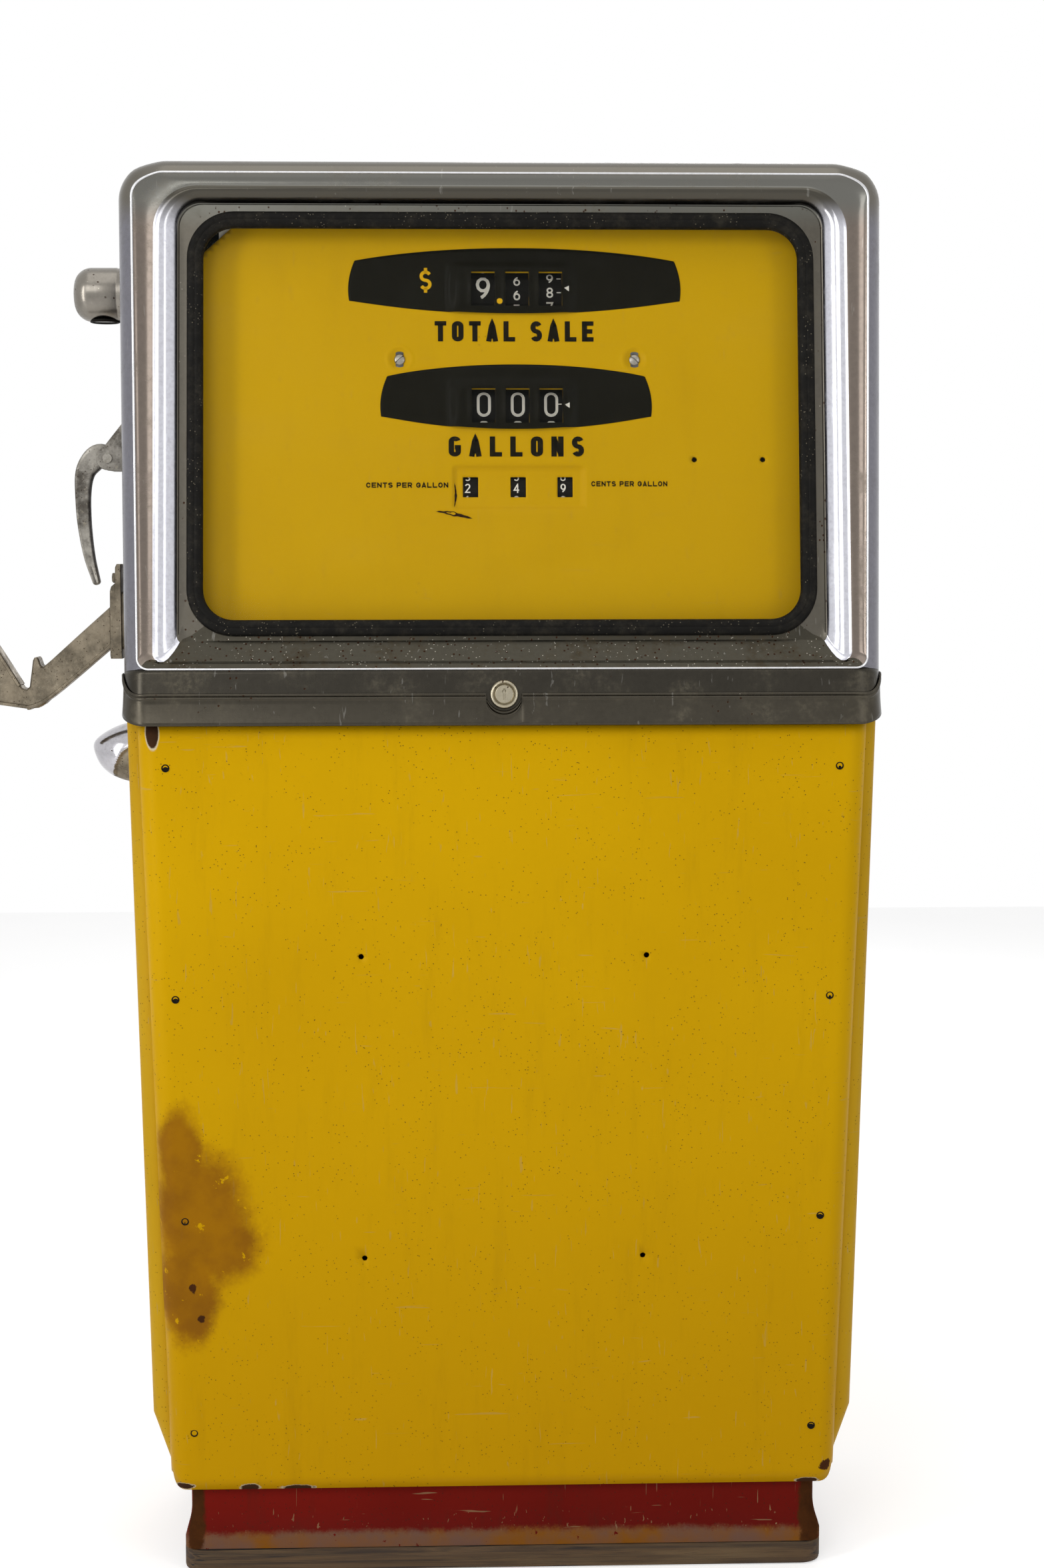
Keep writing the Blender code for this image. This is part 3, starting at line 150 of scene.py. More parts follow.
class Surfaces:
    """Collects grids of points and puts them into one mesh, with a material slot for each."""

    def __init__(self) -> None:
        """Starts empty."""
        self.points: list[Array] = []
        self.faces: list[list[int]] = []
        self.slots: list[int] = []
        self.count = 0

    def grid(self, points: Array, wrap_rows: bool = False, wrap_columns: bool = False,
             keep: Optional[Array] = None, slot: int = 0,
             out: Optional[Sequence[float]] = None) -> "Surfaces":
        """Quads between neighbouring points: (i, j), (i, j+1), (i+1, j+1), (i+1, j).

        Args:
            points: array of shape (rows, columns, 3).
            wrap_rows, wrap_columns: joins the last row or column to the first.
            keep: which quads to make, for a sheet with windows.
            slot: the material slot.
            out: the way that an open sheet's faces look on the whole.
        Returns:
            Itself.
        """
        rows, columns = points.shape[:2]
        index = np.arange(rows * columns).reshape(rows, columns) + self.count
        if wrap_rows:
            index = np.vstack([index, index[:1]])
        if wrap_columns:
            index = np.hstack([index, index[:, :1]])
        quads = np.stack([index[:-1, :-1], index[:-1, 1:], index[1:, 1:], index[1:, :-1]], -1)
        quads = quads[keep] if keep is not None else quads.reshape(-1, 4)
        if out is not None:
            flat = points.reshape(-1, 3)
            corner = flat[quads - self.count]
            total = np.cross(corner[:, 2] - corner[:, 0], corner[:, 3] - corner[:, 1]).sum(0)
            quads = quads[:, ::-1] if total @ np.array(out) < 0 else quads
        self._add(points.reshape(-1, 3), quads.tolist(), slot)
        return self

    def cap(self, ring: Array, slot: int = 0) -> "Surfaces":
        """Triangles from a closed ring of points to its middle."""
        count = len(ring)
        index = np.arange(count) + self.count
        middle = np.full(count, self.count + count)
        fan = np.stack([index, np.roll(index, -1), middle], -1)
        self._add(np.vstack([ring, ring.mean(0)]), fan.tolist(), slot)
        return self

    def slab(self, outline: Array, low: float, high: float, edge: float = 0.0012,
             slot: int = 0) -> "Surfaces":
        """An outline in X-Z given depth in Y, its two faces drawn in by an eased edge.

        Every outline point moves along its mitre by the edge, so that the sides keep parallel.
        """
        turn = np.sum(outline[:, 0] * np.roll(outline[:, 1], -1) - outline[:, 1] * np.roll(outline[:, 0], -1))
        inner = ribbon(outline.copy(), 2 * edge, True)[:, 0 if turn > 0 else 1]
        rows = [np.insert(flat, 1, y, axis=1) for flat, y in ((inner, low), (outline, low + edge),
                                                              (outline, high - edge), (inner, high))]
        self.grid(np.array(rows), wrap_columns=True, slot=slot)
        for row in (rows[0], rows[-1]):
            self._add(row, [list(range(self.count, self.count + len(row)))], slot)
        return self

    def _add(self, points: Array, faces: list[list[int]], slot: int) -> None:
        """Appends points and faces."""
        self.points.append(points)
        self.faces += faces
        self.slots += [slot] * len(faces)
        self.count += len(points)

    def build(self, name: str, materials: Sequence[bpy.types.Material], closed: bool = True,
              weld: float = 1e-6, angle: float = 40.0, wall: float = 0.0) -> bpy.types.Object:
        """The finished object, at the origin.

        Args:
            name: its name. materials: one for each slot.
            closed: a closed shape is recalculated to face outwards.
            weld: points nearer than this become one.
            angle: edges sharper than this, in degrees, are drawn hard.
            wall: thickness that Solidify adds inwards.
        Returns:
            The object, linked to the scene.
        """
        work = bmesh.new()
        mesh = bpy.data.meshes.new(name)
        mesh.from_pydata(np.concatenate(self.points).tolist(), [], self.faces)
        mesh.polygons.foreach_set("material_index", self.slots)
        work.from_mesh(mesh)
        bmesh.ops.remove_doubles(work, verts=work.verts, dist=weld)
        if closed:
            bmesh.ops.recalc_face_normals(work, faces=work.faces)
        work.to_mesh(mesh)
        work.free()
        for material in materials:
            mesh.materials.append(material)
        mesh.shade_smooth()
        mesh.set_sharp_from_angle(angle=math.radians(angle))
        obj = bpy.data.objects.new(name, mesh)
        bpy.context.scene.collection.objects.link(obj)
        if wall:
            thick = obj.modifiers.new("wall", "SOLIDIFY")
            thick.thickness = wall
            thick.offset = -1
        return obj


def lathe(profile: Array, centre: Sequence[float], axis: Sequence[float], steps: int = 48) -> Array:
    """A (radius, height) profile turned about an axis.

    p = c + a h + r (e1 cos t + e2 sin t), where e1 and e2 are square to the axis a.
    """
    a = Vector(axis).normalized()
    first = a.orthogonal().normalized()
    second = a.cross(first)
    t = np.linspace(0, 2 * math.pi, steps, endpoint=False)
    radius, height = np.asarray(profile, float)[:, :1], np.asarray(profile, float)[:, 1:]
    spread = (radius * np.cos(t))[...,
                                  None] * np.array(first) + (radius * np.sin(t))[..., None] * np.array(second)
    return np.array(centre) + height[..., None] * np.array(a) + spread


def ribbon(line: Array, width: float, closed: bool = False) -> Array:
    """The two edges of a stroke along a line, mitred at its turns.

    Each point moves by half the width along the mean of the normals beside it,
    divided by the cosine of half the turn. Returns shape (n, 2, 2).
    """
    before = line - np.roll(line, 1, 0)
    after = np.roll(line, -1, 0) - line
    if not closed:
        before[0], after[-1] = after[0], before[-1]
    before /= np.linalg.norm(before, axis=1, keepdims=True) + 1e-12
    after /= np.linalg.norm(after, axis=1, keepdims=True) + 1e-12
    normal = np.stack([-(before + after)[:, 1], (before + after)[:, 0]], -1)
    length = np.linalg.norm(normal, axis=1, keepdims=True)
    normal = normal / length / np.maximum(length / 2, 0.5)
    return np.stack([line + normal * width / 2, line - normal * width / 2], 1)


# Lettering -------------------------------------------------------------------------------

class Lettering:
    """Upright block letters and digits drawn with one stroke width in a cell 1 tall."""

    def __init__(self, width: float, stroke: float) -> None:
        """Args: width of a cell and of its stroke, both as a share of the height."""
        self.width, self.stroke = width, stroke

    def lines(self, sign: str) -> list[tuple[Array, bool]]:
        """The strokes of one sign, each as (points, closed)."""
        a, t = self.width, self.stroke
        l, r, b, top, c, m = t / 2, a - t / 2, t / 2, 1 - t / 2, a / 2, 0.5
        rx = (r - l) / 2
        ry = (top - m) / 2

        def path(*points: Sequence[float]) -> tuple[Array, bool]:
            """An open stroke through the points."""
            return np.array(points, float), False

        def run(*parts: Array, closed: bool = False) -> tuple[Array, bool]:
            """A stroke made of curves joined end to end."""
            return np.concatenate(parts), closed

        upper, lower = (c, top - rx, rx, rx), (c, b + rx, rx, rx)
        if sign in "O0":
            return [run(arc(*upper, 0, 180), arc(*lower, 180, 360), closed=True)]
        if sign == "C":
            return [run(arc(*upper, 15, 180), arc(*lower, 180, 345))]
        if sign == "G":
            return [run(arc(*upper, 15, 180), arc(*lower, 180, 360), np.array([(r, 0.46)])),
                    path((a, 0.46), (c, 0.46))]
        if sign in "S$":
            low, high = (0.0, 1.0) if sign == "S" else (0.12, 0.88)
            s = high - low
            curve = np.concatenate([arc(c, m + ry, rx, ry, 25, 265), arc(c, m - ry, rx, ry, 85, -155)])
            curve[:, 1] = low + curve[:, 1] * s
            strokes = [(curve, False)]
            return strokes if sign == "S" else strokes + [path((c, 0), (c, 0.2)), path((c, 0.8), (c, 1))]
        simple = {
            "T": [path((0, top), (a, top)), path((c, 0), (c, top))],
            "L": [path((l, 1), (l, 0)), path((l, b), (a, b))],
            "E": [path((l, 1), (l, 0)), path((l, b), (a, b)), path((l, top), (a, top)),
                  path((l, m), (a * .9, m))],
            "A": [path((l * .9, 0), (c, 1 - t * .3), (a - l * .9, 0)),
                  path((a * .22, 0.25), (a * .78, 0.25))],
            "N": [path((l, 0), (l, 1)), path((r, 0), (r, 1)), path((l, 1 - t / 2), (r, t / 2))],
            "1": [path((c, 0), (c, 1)), path((c, top), (c - a * .25, 0.82))],
            "4": [path((a * .72, 0), (a * .72, 1 - t * .4), (l * .6, 0.3), (a, 0.3))],
            "7": [path((0, top), (r, top), (a * .35, 0))],
            "/": [path((a * .2, 0), (a * .8, 1))],
            "-": [path((0, m), (a, m))],
        }
        if sign in simple:
            return simple[sign]
        if sign in "PR":
            bowl = (top - 0.45) / 2
            strokes = [path((l, 0), (l, 1)),
                       run(np.array([(l, top)]), arc(r - bowl, top - bowl, bowl, bowl, 90, -90),
                           np.array([(l, 0.45)]))]
            return strokes if sign == "P" else strokes + [path((c, 0.45), (a - l * .8, 0))]
        if sign == "2":
            return [run(arc(*upper, 165, -30), np.array([(l, b), (a, b)]))]
        if sign == "3":
            return [run(arc(c, m + ry, rx, ry, 150, -80)), run(arc(c, m - ry, rx, ry, 80, -150))]
        if sign == "5":
            return [run(np.array([(r, top), (l * 1.4, top), (l, 0.56)]),
                        arc(c, b + 0.29, rx, 0.29, 120, -150))]
        if sign == "8":
            return [run(arc(c, m + ry, rx * .9, ry, 0, 360)[:-1], closed=True),
                    run(arc(c, m - ry, rx, ry, 0, 360)[:-1], closed=True)]
        loop = arc(c, b + 0.27, rx, 0.27, 0, 360)[:-1]
        stem = np.concatenate([arc(r + rx * .3, b + 0.27, 2 * rx * 1.15, top - b - 0.27, 180, 115)])
        if sign == "9":
            loop, stem = np.array([a, 1.0]) - loop, np.array([a, 1.0]) - stem
        return [run(loop, closed=True), run(stem)]

    def strokes(self, sign: str) -> list[Array]:
        """The ribbons of one sign, each of shape (n, 2, 2), divided finely along their length."""
        found = []
        for line, closed in self.lines(sign):
            if len(line) < 8:
                share = np.linspace(0, 1, 7)[:-1, None]
                parts = [p + (q - p) * share for p, q in zip(line, line[1:])]
                line = np.concatenate([*parts, line[-1:]])
            edges = ribbon(line, self.stroke, closed)
            found.append(np.concatenate([edges, edges[:1]]) if closed else edges)
        return found

    def text(self, words: str, low: Sequence[float], high: Sequence[float], gap: float = 0.35,
             space: float = 0.6) -> list[Array]:
        """The ribbons of a line of text, stretched to fill a box from low to high."""
        x, found = 0.0, []
        for sign in words:
            if sign == " ":
                x += space
                continue
            found += [stroke + np.array([x, 0.0]) for stroke in self.strokes(sign)]
            x += self.width + gap
        low, high = np.array(low), np.array(high)
        scale = (high - low) / np.array([x - gap, 1.0])
        return [low + stroke * scale for stroke in found]


# Finishes --------------------------------------------------------------------------------

Colour = tuple[float, float, float]


def srgb(red: float, green: float, blue: float) -> Colour:
    """A colour given in 0 to 255 steps, as linear light."""
    parts = np.array([red, green, blue]) / 255.0
    linear = np.where(parts <= 0.04045, parts / 12.92, ((parts + 0.055) / 1.055) ** 2.4)
    return tuple(float(part) for part in linear)


class Paintwork:
    """One material's nodes, with short calls for the few kinds used here."""

    def __init__(self, name: str) -> None:
        """Args: name of the new material."""
        self.material = bpy.data.materials.new(name)
        self.material.use_nodes = True
        self.nodes = self.material.node_tree.nodes
        self.links = self.material.node_tree.links
        self.shader = self.nodes["Principled BSDF"]
        self.place = self.node("ShaderNodeTexCoord").outputs["Object"]
        self.height = None

    def node(self, kind: str, **settings: object) -> bpy.types.Node:
        """A new node with its settings."""
        node = self.nodes.new(kind)
        for key, value in settings.items():
            setattr(node, key, value)
        return node

    def feed(self, socket: bpy.types.NodeSocket, value: object) -> None:
        """Links a socket, or sets a number or colour."""
        if isinstance(value, bpy.types.NodeSocket):
            self.links.new(value, socket)
        elif isinstance(value, tuple) and socket.type == "RGBA":
            socket.default_value = (*value[:3], 1.0)
        else:
            socket.default_value = value

    def moved(self, centre: Sequence[float] = (0, 0, 0),
              stretch: Sequence[float] = (1, 1, 1)) -> bpy.types.NodeSocket:
        """Object coordinates, (p - centre) * stretch."""
        shift = self.node("ShaderNodeVectorMath", operation="SUBTRACT")
        self.feed(shift.inputs[0], self.place)
        shift.inputs[1].default_value = centre
        grow = self.node("ShaderNodeVectorMath", operation="MULTIPLY")
        self.feed(grow.inputs[0], shift.outputs[0])
        grow.inputs[1].default_value = stretch
        return grow.outputs[0]

    def noise(self, scale: float, detail: float = 5.0, rough: float = 0.6,
              stretch: Sequence[float] = (1, 1, 1), twist: float = 0.0) -> bpy.types.NodeSocket:
        """Cloudy noise from 0 to 1, scale being its clouds to a metre."""
        node = self.node("ShaderNodeTexNoise")
        self.feed(node.inputs["Vector"], self.moved(stretch=stretch))
        for key, value in (("Scale", scale), ("Detail", detail), ("Roughness", rough), ("Distortion", twist)):
            node.inputs[key].default_value = value
        return node.outputs["Fac"]

    def cells(self, scale: float, stretch: Sequence[float] = (1, 1, 1)) -> bpy.types.NodeSocket:
        """Distance to the nearest of scattered points."""
        node = self.node("ShaderNodeTexVoronoi")
        self.feed(node.inputs["Vector"], self.moved(stretch=stretch))
        node.inputs["Scale"].default_value = scale
        return node.outputs["Distance"]

    def maths(self, kind: str, first: object, second: object = 0.0,
              clamp: bool = False) -> bpy.types.NodeSocket:
        """One sum on two values."""
        node = self.node("ShaderNodeMath", operation=kind, use_clamp=clamp)
        self.feed(node.inputs[0], first)
        self.feed(node.inputs[1], second)
        return node.outputs[0]

    def between(self, value: object, low: float, high: float, start: float = 0.0,
                end: float = 1.0) -> bpy.types.NodeSocket:
        """A value from low to high becomes start to end, eased and held at both ends."""
        node = self.node("ShaderNodeMapRange", interpolation_type="SMOOTHSTEP")
        for index, item in enumerate((value, low, high, start, end)):
            self.feed(node.inputs[index], item)
        return node.outputs[0]

    def mix(self, share: object, first: object, second: object) -> bpy.types.NodeSocket:
        """A colour between two."""
        node = self.node("ShaderNodeMix", data_type="RGBA")
        self.feed(node.inputs[0], share)
        self.feed(node.inputs[6], first)
        self.feed(node.inputs[7], second)
        return node.outputs[2]

    def patch(self, spot: "Patch", grow: float = 1.0) -> bpy.types.NodeSocket:
        """1 inside a ragged ellipsoid: its scaled distance, shaken by noise, passes 1 at its edge."""
        centre, ragged, scale = spot.centre, spot.ragged, spot.scale
        reach = [part * grow for part in spot.reach]
        away = self.node("ShaderNodeVectorMath", operation="LENGTH")
        self.feed(away.inputs[0], self.moved(centre, [1 / part for part in reach]))
        shake = self.maths("MULTIPLY", self.maths("SUBTRACT", self.noise(scale, 6, 0.65), 0.5), 2.0 * ragged)
        fine = self.maths("MULTIPLY", self.maths("SUBTRACT", self.noise(scale * 7, 4, 0.7), 0.5),
                          0.9 * ragged)
        edge = self.maths("ADD", self.maths("ADD", away.outputs["Value"], shake), fine)
        return self.between(edge, 1 - spot.soft, 1 + spot.soft, 1.0, 0.0)

    def specks(self, scale: float, size: float, share: float = 0.5) -> bpy.types.NodeSocket:
        """1 in small scattered spots, fewer where a slow noise is low."""
        spots = self.between(self.cells(scale), size * 0.6, size, 1.0, 0.0)
        where = self.between(self.noise(scale * 0.13, 2), 1 - share, 1 - share + 0.06)
        return self.maths("MULTIPLY", spots, where)

    def scratches(self, turns: Sequence[float] = (300, 300, 14), rare: float = 0.69) -> bpy.types.NodeSocket:
        """Thin lines: the crests of a noise drawn out along one axis."""
        return self.between(self.noise(1.0, 2, 0.5, turns, 0.6), rare, rare + 0.03)

    def raise_by(self, height: object, distance: float, strength: float = 1.0) -> None:
        """Adds a bump; the next one is built on it."""
        node = self.node("ShaderNodeBump")
        node.inputs["Strength"].default_value = strength
        node.inputs["Distance"].default_value = distance
        self.feed(node.inputs["Height"], height)
        if self.height is not None:
            self.links.new(self.height, node.inputs["Normal"])
        self.height = node.outputs["Normal"]

    def finish(self, colour: object, rough: object, metal: float = 0.0, specular: float = 0.5,
               alpha: object = 1.0) -> bpy.types.Material:
        """Feeds the shader and returns the material."""
        self.feed(self.shader.inputs["Base Color"], colour)
        self.feed(self.shader.inputs["Roughness"], rough)
        self.shader.inputs["Metallic"].default_value = metal
        self.shader.inputs["Specular IOR Level"].default_value = specular
        self.feed(self.shader.inputs["Alpha"], alpha)
        if self.height is not None:
            self.links.new(self.height, self.shader.inputs["Normal"])
        return self.material


@dataclass(frozen=True)
class Patch:
    """A worn place: where it is, how far it reaches, and how ragged its edge is."""
    centre: tuple[float, float, float]
    reach: tuple[float, float, float]
    ragged: float = 0.5
    scale: float = 60.0
    soft: float = 0.08


@dataclass(frozen=True)
class Enamel:
    """Stove enamel: mottled colour, dark specks, thin scratches, rust and chips with a pale rim."""
    name: str
    colour: Colour
    low: Colour
    grime: Colour = srgb(70, 50, 20)
    rust: Colour = srgb(92, 52, 22)
    grime_share: float = 0.30
    speck_share: float = 0.55
    scratch: float = 0.35
    rough: float = 0.32
    gloss: float = 0.05
    stain: Colour = srgb(160, 106, 10)
    stained: tuple[Patch, ...] = ()
    rusted: tuple[Patch, ...] = ()
    chipped: tuple[Patch, ...] = ()
    # below these heights the colour goes over to low: darker towards the bottom
    fade: Optional[tuple[float, float]] = None

    def make(self) -> bpy.types.Material:
        """The material."""
        paint = Paintwork(self.name)
        cloud = paint.noise(3.0, 4, 0.5)
        colour = paint.mix(paint.between(cloud, 0.35, 0.70, 0.0, 0.35), self.colour, self.low)
        if self.fade:
            level = paint.node("ShaderNodeSeparateXYZ")
            paint.feed(level.inputs[0], paint.place)
            colour = paint.mix(paint.between(level.outputs[2], self.fade[0], self.fade[1], 0.75, 0.0), colour,
                               self.low)
        streak = paint.noise(1.0, 6, 0.7, (38, 38, 4))
        colour = paint.mix(paint.between(streak, 0.5, 0.8, 0.0, self.grime_share), colour, self.grime)
        spots = paint.specks(210, 0.16, self.speck_share)
        colour = paint.mix(paint.maths("MULTIPLY", spots, 0.8), colour, self.grime)
        lines = paint.scratches()
        across = paint.scratches((16, 16, 260), 0.72)
        marks = paint.maths("MULTIPLY", paint.maths("MAXIMUM", lines, across), self.scratch)
        colour = paint.mix(marks, colour, paint.mix(paint.noise(9), self.grime, srgb(224, 204, 150)))
        stain = 0.0
        for spot in self.stained:
            stain = paint.maths("MAXIMUM", stain, paint.patch(spot))
        if self.stained:
            flecks = paint.between(paint.noise(52, 5, 0.7), 0.640, 0.655)
            brown = paint.mix(paint.between(paint.noise(16, 5), 0.35, 0.7), self.stain, srgb(134, 84, 16))
            hold = paint.maths("MULTIPLY", stain, paint.maths("SUBTRACT", 1.0, flecks))
            colour = paint.mix(paint.maths("MULTIPLY", hold, 0.93), colour, brown)
        bare = paint.maths("MULTIPLY", stain, 0.4)
        for spot in self.rusted:
            mask = paint.patch(spot)
            brown = paint.mix(paint.noise(70, 6, 0.7), self.rust, srgb(40, 24, 14))
            colour = paint.mix(mask, colour, brown)
            bare = paint.maths("MAXIMUM", bare, mask)
        for spot in self.chipped:
            rim, core = paint.patch(spot, 1.14), paint.patch(spot)
            colour = paint.mix(core,
                               paint.mix(paint.maths("MULTIPLY", rim, 0.8), colour, srgb(222, 214, 190)),
                               paint.mix(paint.noise(120), srgb(48, 34, 24), srgb(78, 48, 28)))
            paint.raise_by(paint.maths("SUBTRACT", 1.0, rim), 0.0004, 0.6)
            bare = paint.maths("MAXIMUM", bare, core)
        rough = paint.maths("ADD",
                            paint.between(paint.noise(14, 5), 0.3, 0.75, self.rough, self.rough + 0.16),
                            paint.maths("MULTIPLY", bare, 0.35), clamp=True)
        paint.raise_by(paint.noise(22, 2), 0.0012, 0.08)
        paint.raise_by(paint.noise(520, 3), 0.0002, 0.06)
        return paint.finish(colour, rough, specular=self.gloss)


@dataclass(frozen=True)
class Steel:
    """Bright sheet metal with fine drawn grain, dust, brown pits and pale specks; a top colour paints the
    light and shade of the door frame's upturned top run.
    """
    name: str
    colour: Colour
    dust: Colour = srgb(104, 98, 84)
    dusty: float = 0.25
    rough: float = 0.16
    grain: tuple[float, float, float] = (30, 30, 700)
    grain_depth: float = 0.15
    pitted: float = 0.35
    metal: float = 1.0
    # top: the colour that the top run takes above the heights in turn, a painted shade and light where the
    # frame turns to face up
    top: Optional[Colour] = None
    turn: tuple[float, float] = (1.425, 1.462)

    def make(self) -> bpy.types.Material:
        """The material."""
        paint = Paintwork(self.name)
        cloud = paint.between(paint.noise(16, 7, 0.7), 0.45, 0.72)
        fine = paint.between(paint.noise(190, 5, 0.75), 0.35, 0.75)
        colour = paint.mix(paint.maths("MULTIPLY", fine, 0.3), self.colour,
                           tuple(part * 0.55 for part in self.colour))
        # painted shade and light: above the heights in turn the colour goes over to top, for the door frame's
        # upturned top run
        if self.top:
            level = paint.node("ShaderNodeSeparateXYZ")
            paint.feed(level.inputs[0], paint.place)
            colour = paint.mix(paint.between(level.outputs[2], *self.turn), colour, self.top)
        dust = paint.maths("MULTIPLY", paint.maths("MULTIPLY", cloud, fine), self.dusty * 2.2, clamp=True)
        colour = paint.mix(dust, colour, self.dust)
        pits = paint.specks(150, 0.20, self.pitted)
        colour = paint.mix(paint.maths("MULTIPLY", pits, 0.9), colour, srgb(46, 26, 14))
        white = paint.specks(230, 0.15, self.pitted * 0.8)
        colour = paint.mix(paint.maths("MULTIPLY", white, 0.5), colour, srgb(200, 194, 180))
        marks = paint.scratches((260, 260, 10), 0.70)
        colour = paint.mix(paint.maths("MULTIPLY", marks, 0.16), colour, srgb(176, 174, 168))
        rough = paint.maths("ADD",
                            paint.between(cloud, 0.0, 1.0, self.rough, self.rough + 0.2 * (0.4 + self.dusty)),
                            paint.maths("MULTIPLY", dust, 0.35), clamp=True)
        paint.raise_by(paint.noise(1.0, 3, 0.6, self.grain), 0.0002, self.grain_depth)
        paint.raise_by(paint.noise(24, 3), 0.002, 0.06)
        paint.raise_by(paint.maths("SUBTRACT", 1.0, pits), 0.0003, 0.5)
        return paint.finish(colour, rough, metal=self.metal)


@dataclass(frozen=True)
class Casting:
    """Rough cast or machine-painted metal with dirt in its hollows and rubbed high spots."""
    name: str
    colour: Colour
    dark: Colour
    rubbed: Colour = srgb(170, 160, 140)
    rough: float = 0.45
    metal: float = 1.0
    bumps: float = 0.5
    size: float = 220.0

    def make(self) -> bpy.types.Material:
        """The material."""
        paint = Paintwork(self.name)
        colour = paint.mix(paint.between(paint.noise(28, 7, 0.7), 0.38, 0.66), self.colour, self.dark)
        colour = paint.mix(paint.between(paint.noise(150, 5, 0.7), 0.58, 0.72, 0.0, 0.55), colour,
                           self.rubbed)
        colour = paint.mix(paint.maths("MULTIPLY", paint.specks(260, 0.2, 0.6), 0.8), colour,
                           srgb(40, 24, 14))
        rough = paint.between(paint.noise(60, 5), 0.3, 0.7, self.rough - 0.08, self.rough + 0.2)
        paint.raise_by(paint.noise(self.size, 4, 0.65), 0.0006, self.bumps)
        return paint.finish(colour, rough, metal=self.metal)


@dataclass(frozen=True)
class Rubber:
    """Old black rubber, greyed by dust and finely cracked."""
    name: str
    colour: Colour = srgb(34, 32, 29)

    def make(self) -> bpy.types.Material:
        """The material."""
        paint = Paintwork(self.name)
        grey = paint.between(paint.noise(60, 7, 0.75), 0.45, 0.75, 0.0, 0.22)
        colour = paint.mix(grey, self.colour, srgb(88, 82, 70))
        colour = paint.mix(paint.maths("MULTIPLY", paint.specks(300, 0.2, 0.5), 0.7), colour,
                           srgb(130, 122, 104))
        paint.raise_by(paint.noise(260, 5, 0.7), 0.0004, 0.5)
        return paint.finish(colour, paint.between(paint.noise(90), 0.3, 0.7, 0.42, 0.68), specular=0.08)


@dataclass(frozen=True)
class Board:
    """Weathered timber: grain drawn out along X, dark cracks and worn grey crests."""
    name: str
    colour: Colour = srgb(92, 70, 45)

    def make(self) -> bpy.types.Material:
        """The material."""
        paint = Paintwork(self.name)
        grain = paint.noise(1.0, 8, 0.7, (5, 90, 160), 0.8)
        wide = paint.noise(1.0, 4, 0.6, (2.5, 26, 40))
        colour = paint.mix(paint.between(grain, 0.35, 0.65), srgb(44, 31, 20), self.colour)
        colour = paint.mix(paint.between(wide, 0.52, 0.7, 0.0, 0.6), colour, srgb(120, 100, 72))
        cracks = paint.between(paint.noise(1.0, 3, 0.5, (6, 130, 240), 0.4), 0.64, 0.68)
        colour = paint.mix(cracks, colour, srgb(22, 15, 10))
        paint.raise_by(paint.maths("SUBTRACT", grain, cracks), 0.0016, 0.7)
        return paint.finish(colour, paint.between(wide, 0.3, 0.7, 0.72, 0.9))


@dataclass(frozen=True)
class Pane:
    """Clear window glass: thin, faintly dusty, seen through by its low alpha."""
    name: str
    clear: float = 0.008

    def make(self) -> bpy.types.Material:
        """The material."""
        paint = Paintwork(self.name)
        smear = paint.between(paint.noise(1.0, 4, 0.6, (6, 6, 16)), 0.5, 0.8, self.clear, self.clear * 1.6)
        rough = paint.between(paint.noise(12), 0.3, 0.7, 0.03, 0.08)
        return paint.finish(srgb(150, 156, 152), rough, specular=0.3, alpha=smear)


@dataclass(frozen=True)
class Ink:
    """Screen-printed or moulded lettering: an even colour worn thin in places."""
    name: str
    colour: Colour
    worn: Colour
    rough: float = 0.4
    wear: float = 0.25

    def make(self) -> bpy.types.Material:
        """The material."""
        paint = Paintwork(self.name)
        colour = paint.mix(paint.between(paint.noise(160, 6, 0.7), 0.55, 0.75, 0.0, self.wear), self.colour,
                           self.worn)
        paint.raise_by(paint.noise(400, 3), 0.0001, 0.2)
        return paint.finish(colour, paint.between(paint.noise(50), 0.3, 0.7, self.rough, self.rough + 0.15),
                            specular=0.03)


# Finishes of this pump -------------------------------------------------------------------

YELLOW, YELLOW_LOW = srgb(220, 171, 1), srgb(196, 147, 0)
PANEL_FRONT_Y, PANEL_SLOPE = -0.230, math.tan(math.radians(5.5))


def panel_y(z: float) -> float:
    """Depth of the lower front panel at a height: it leans in by 5.5 degrees below the skirt."""
    return PANEL_FRONT_Y + (SKIRT_BOTTOM - z) * PANEL_SLOPE


def on_panel(x: float, z: float) -> tuple[float, float, float]:
    """A point on the lower front panel."""
    return (x, panel_y(z), z)


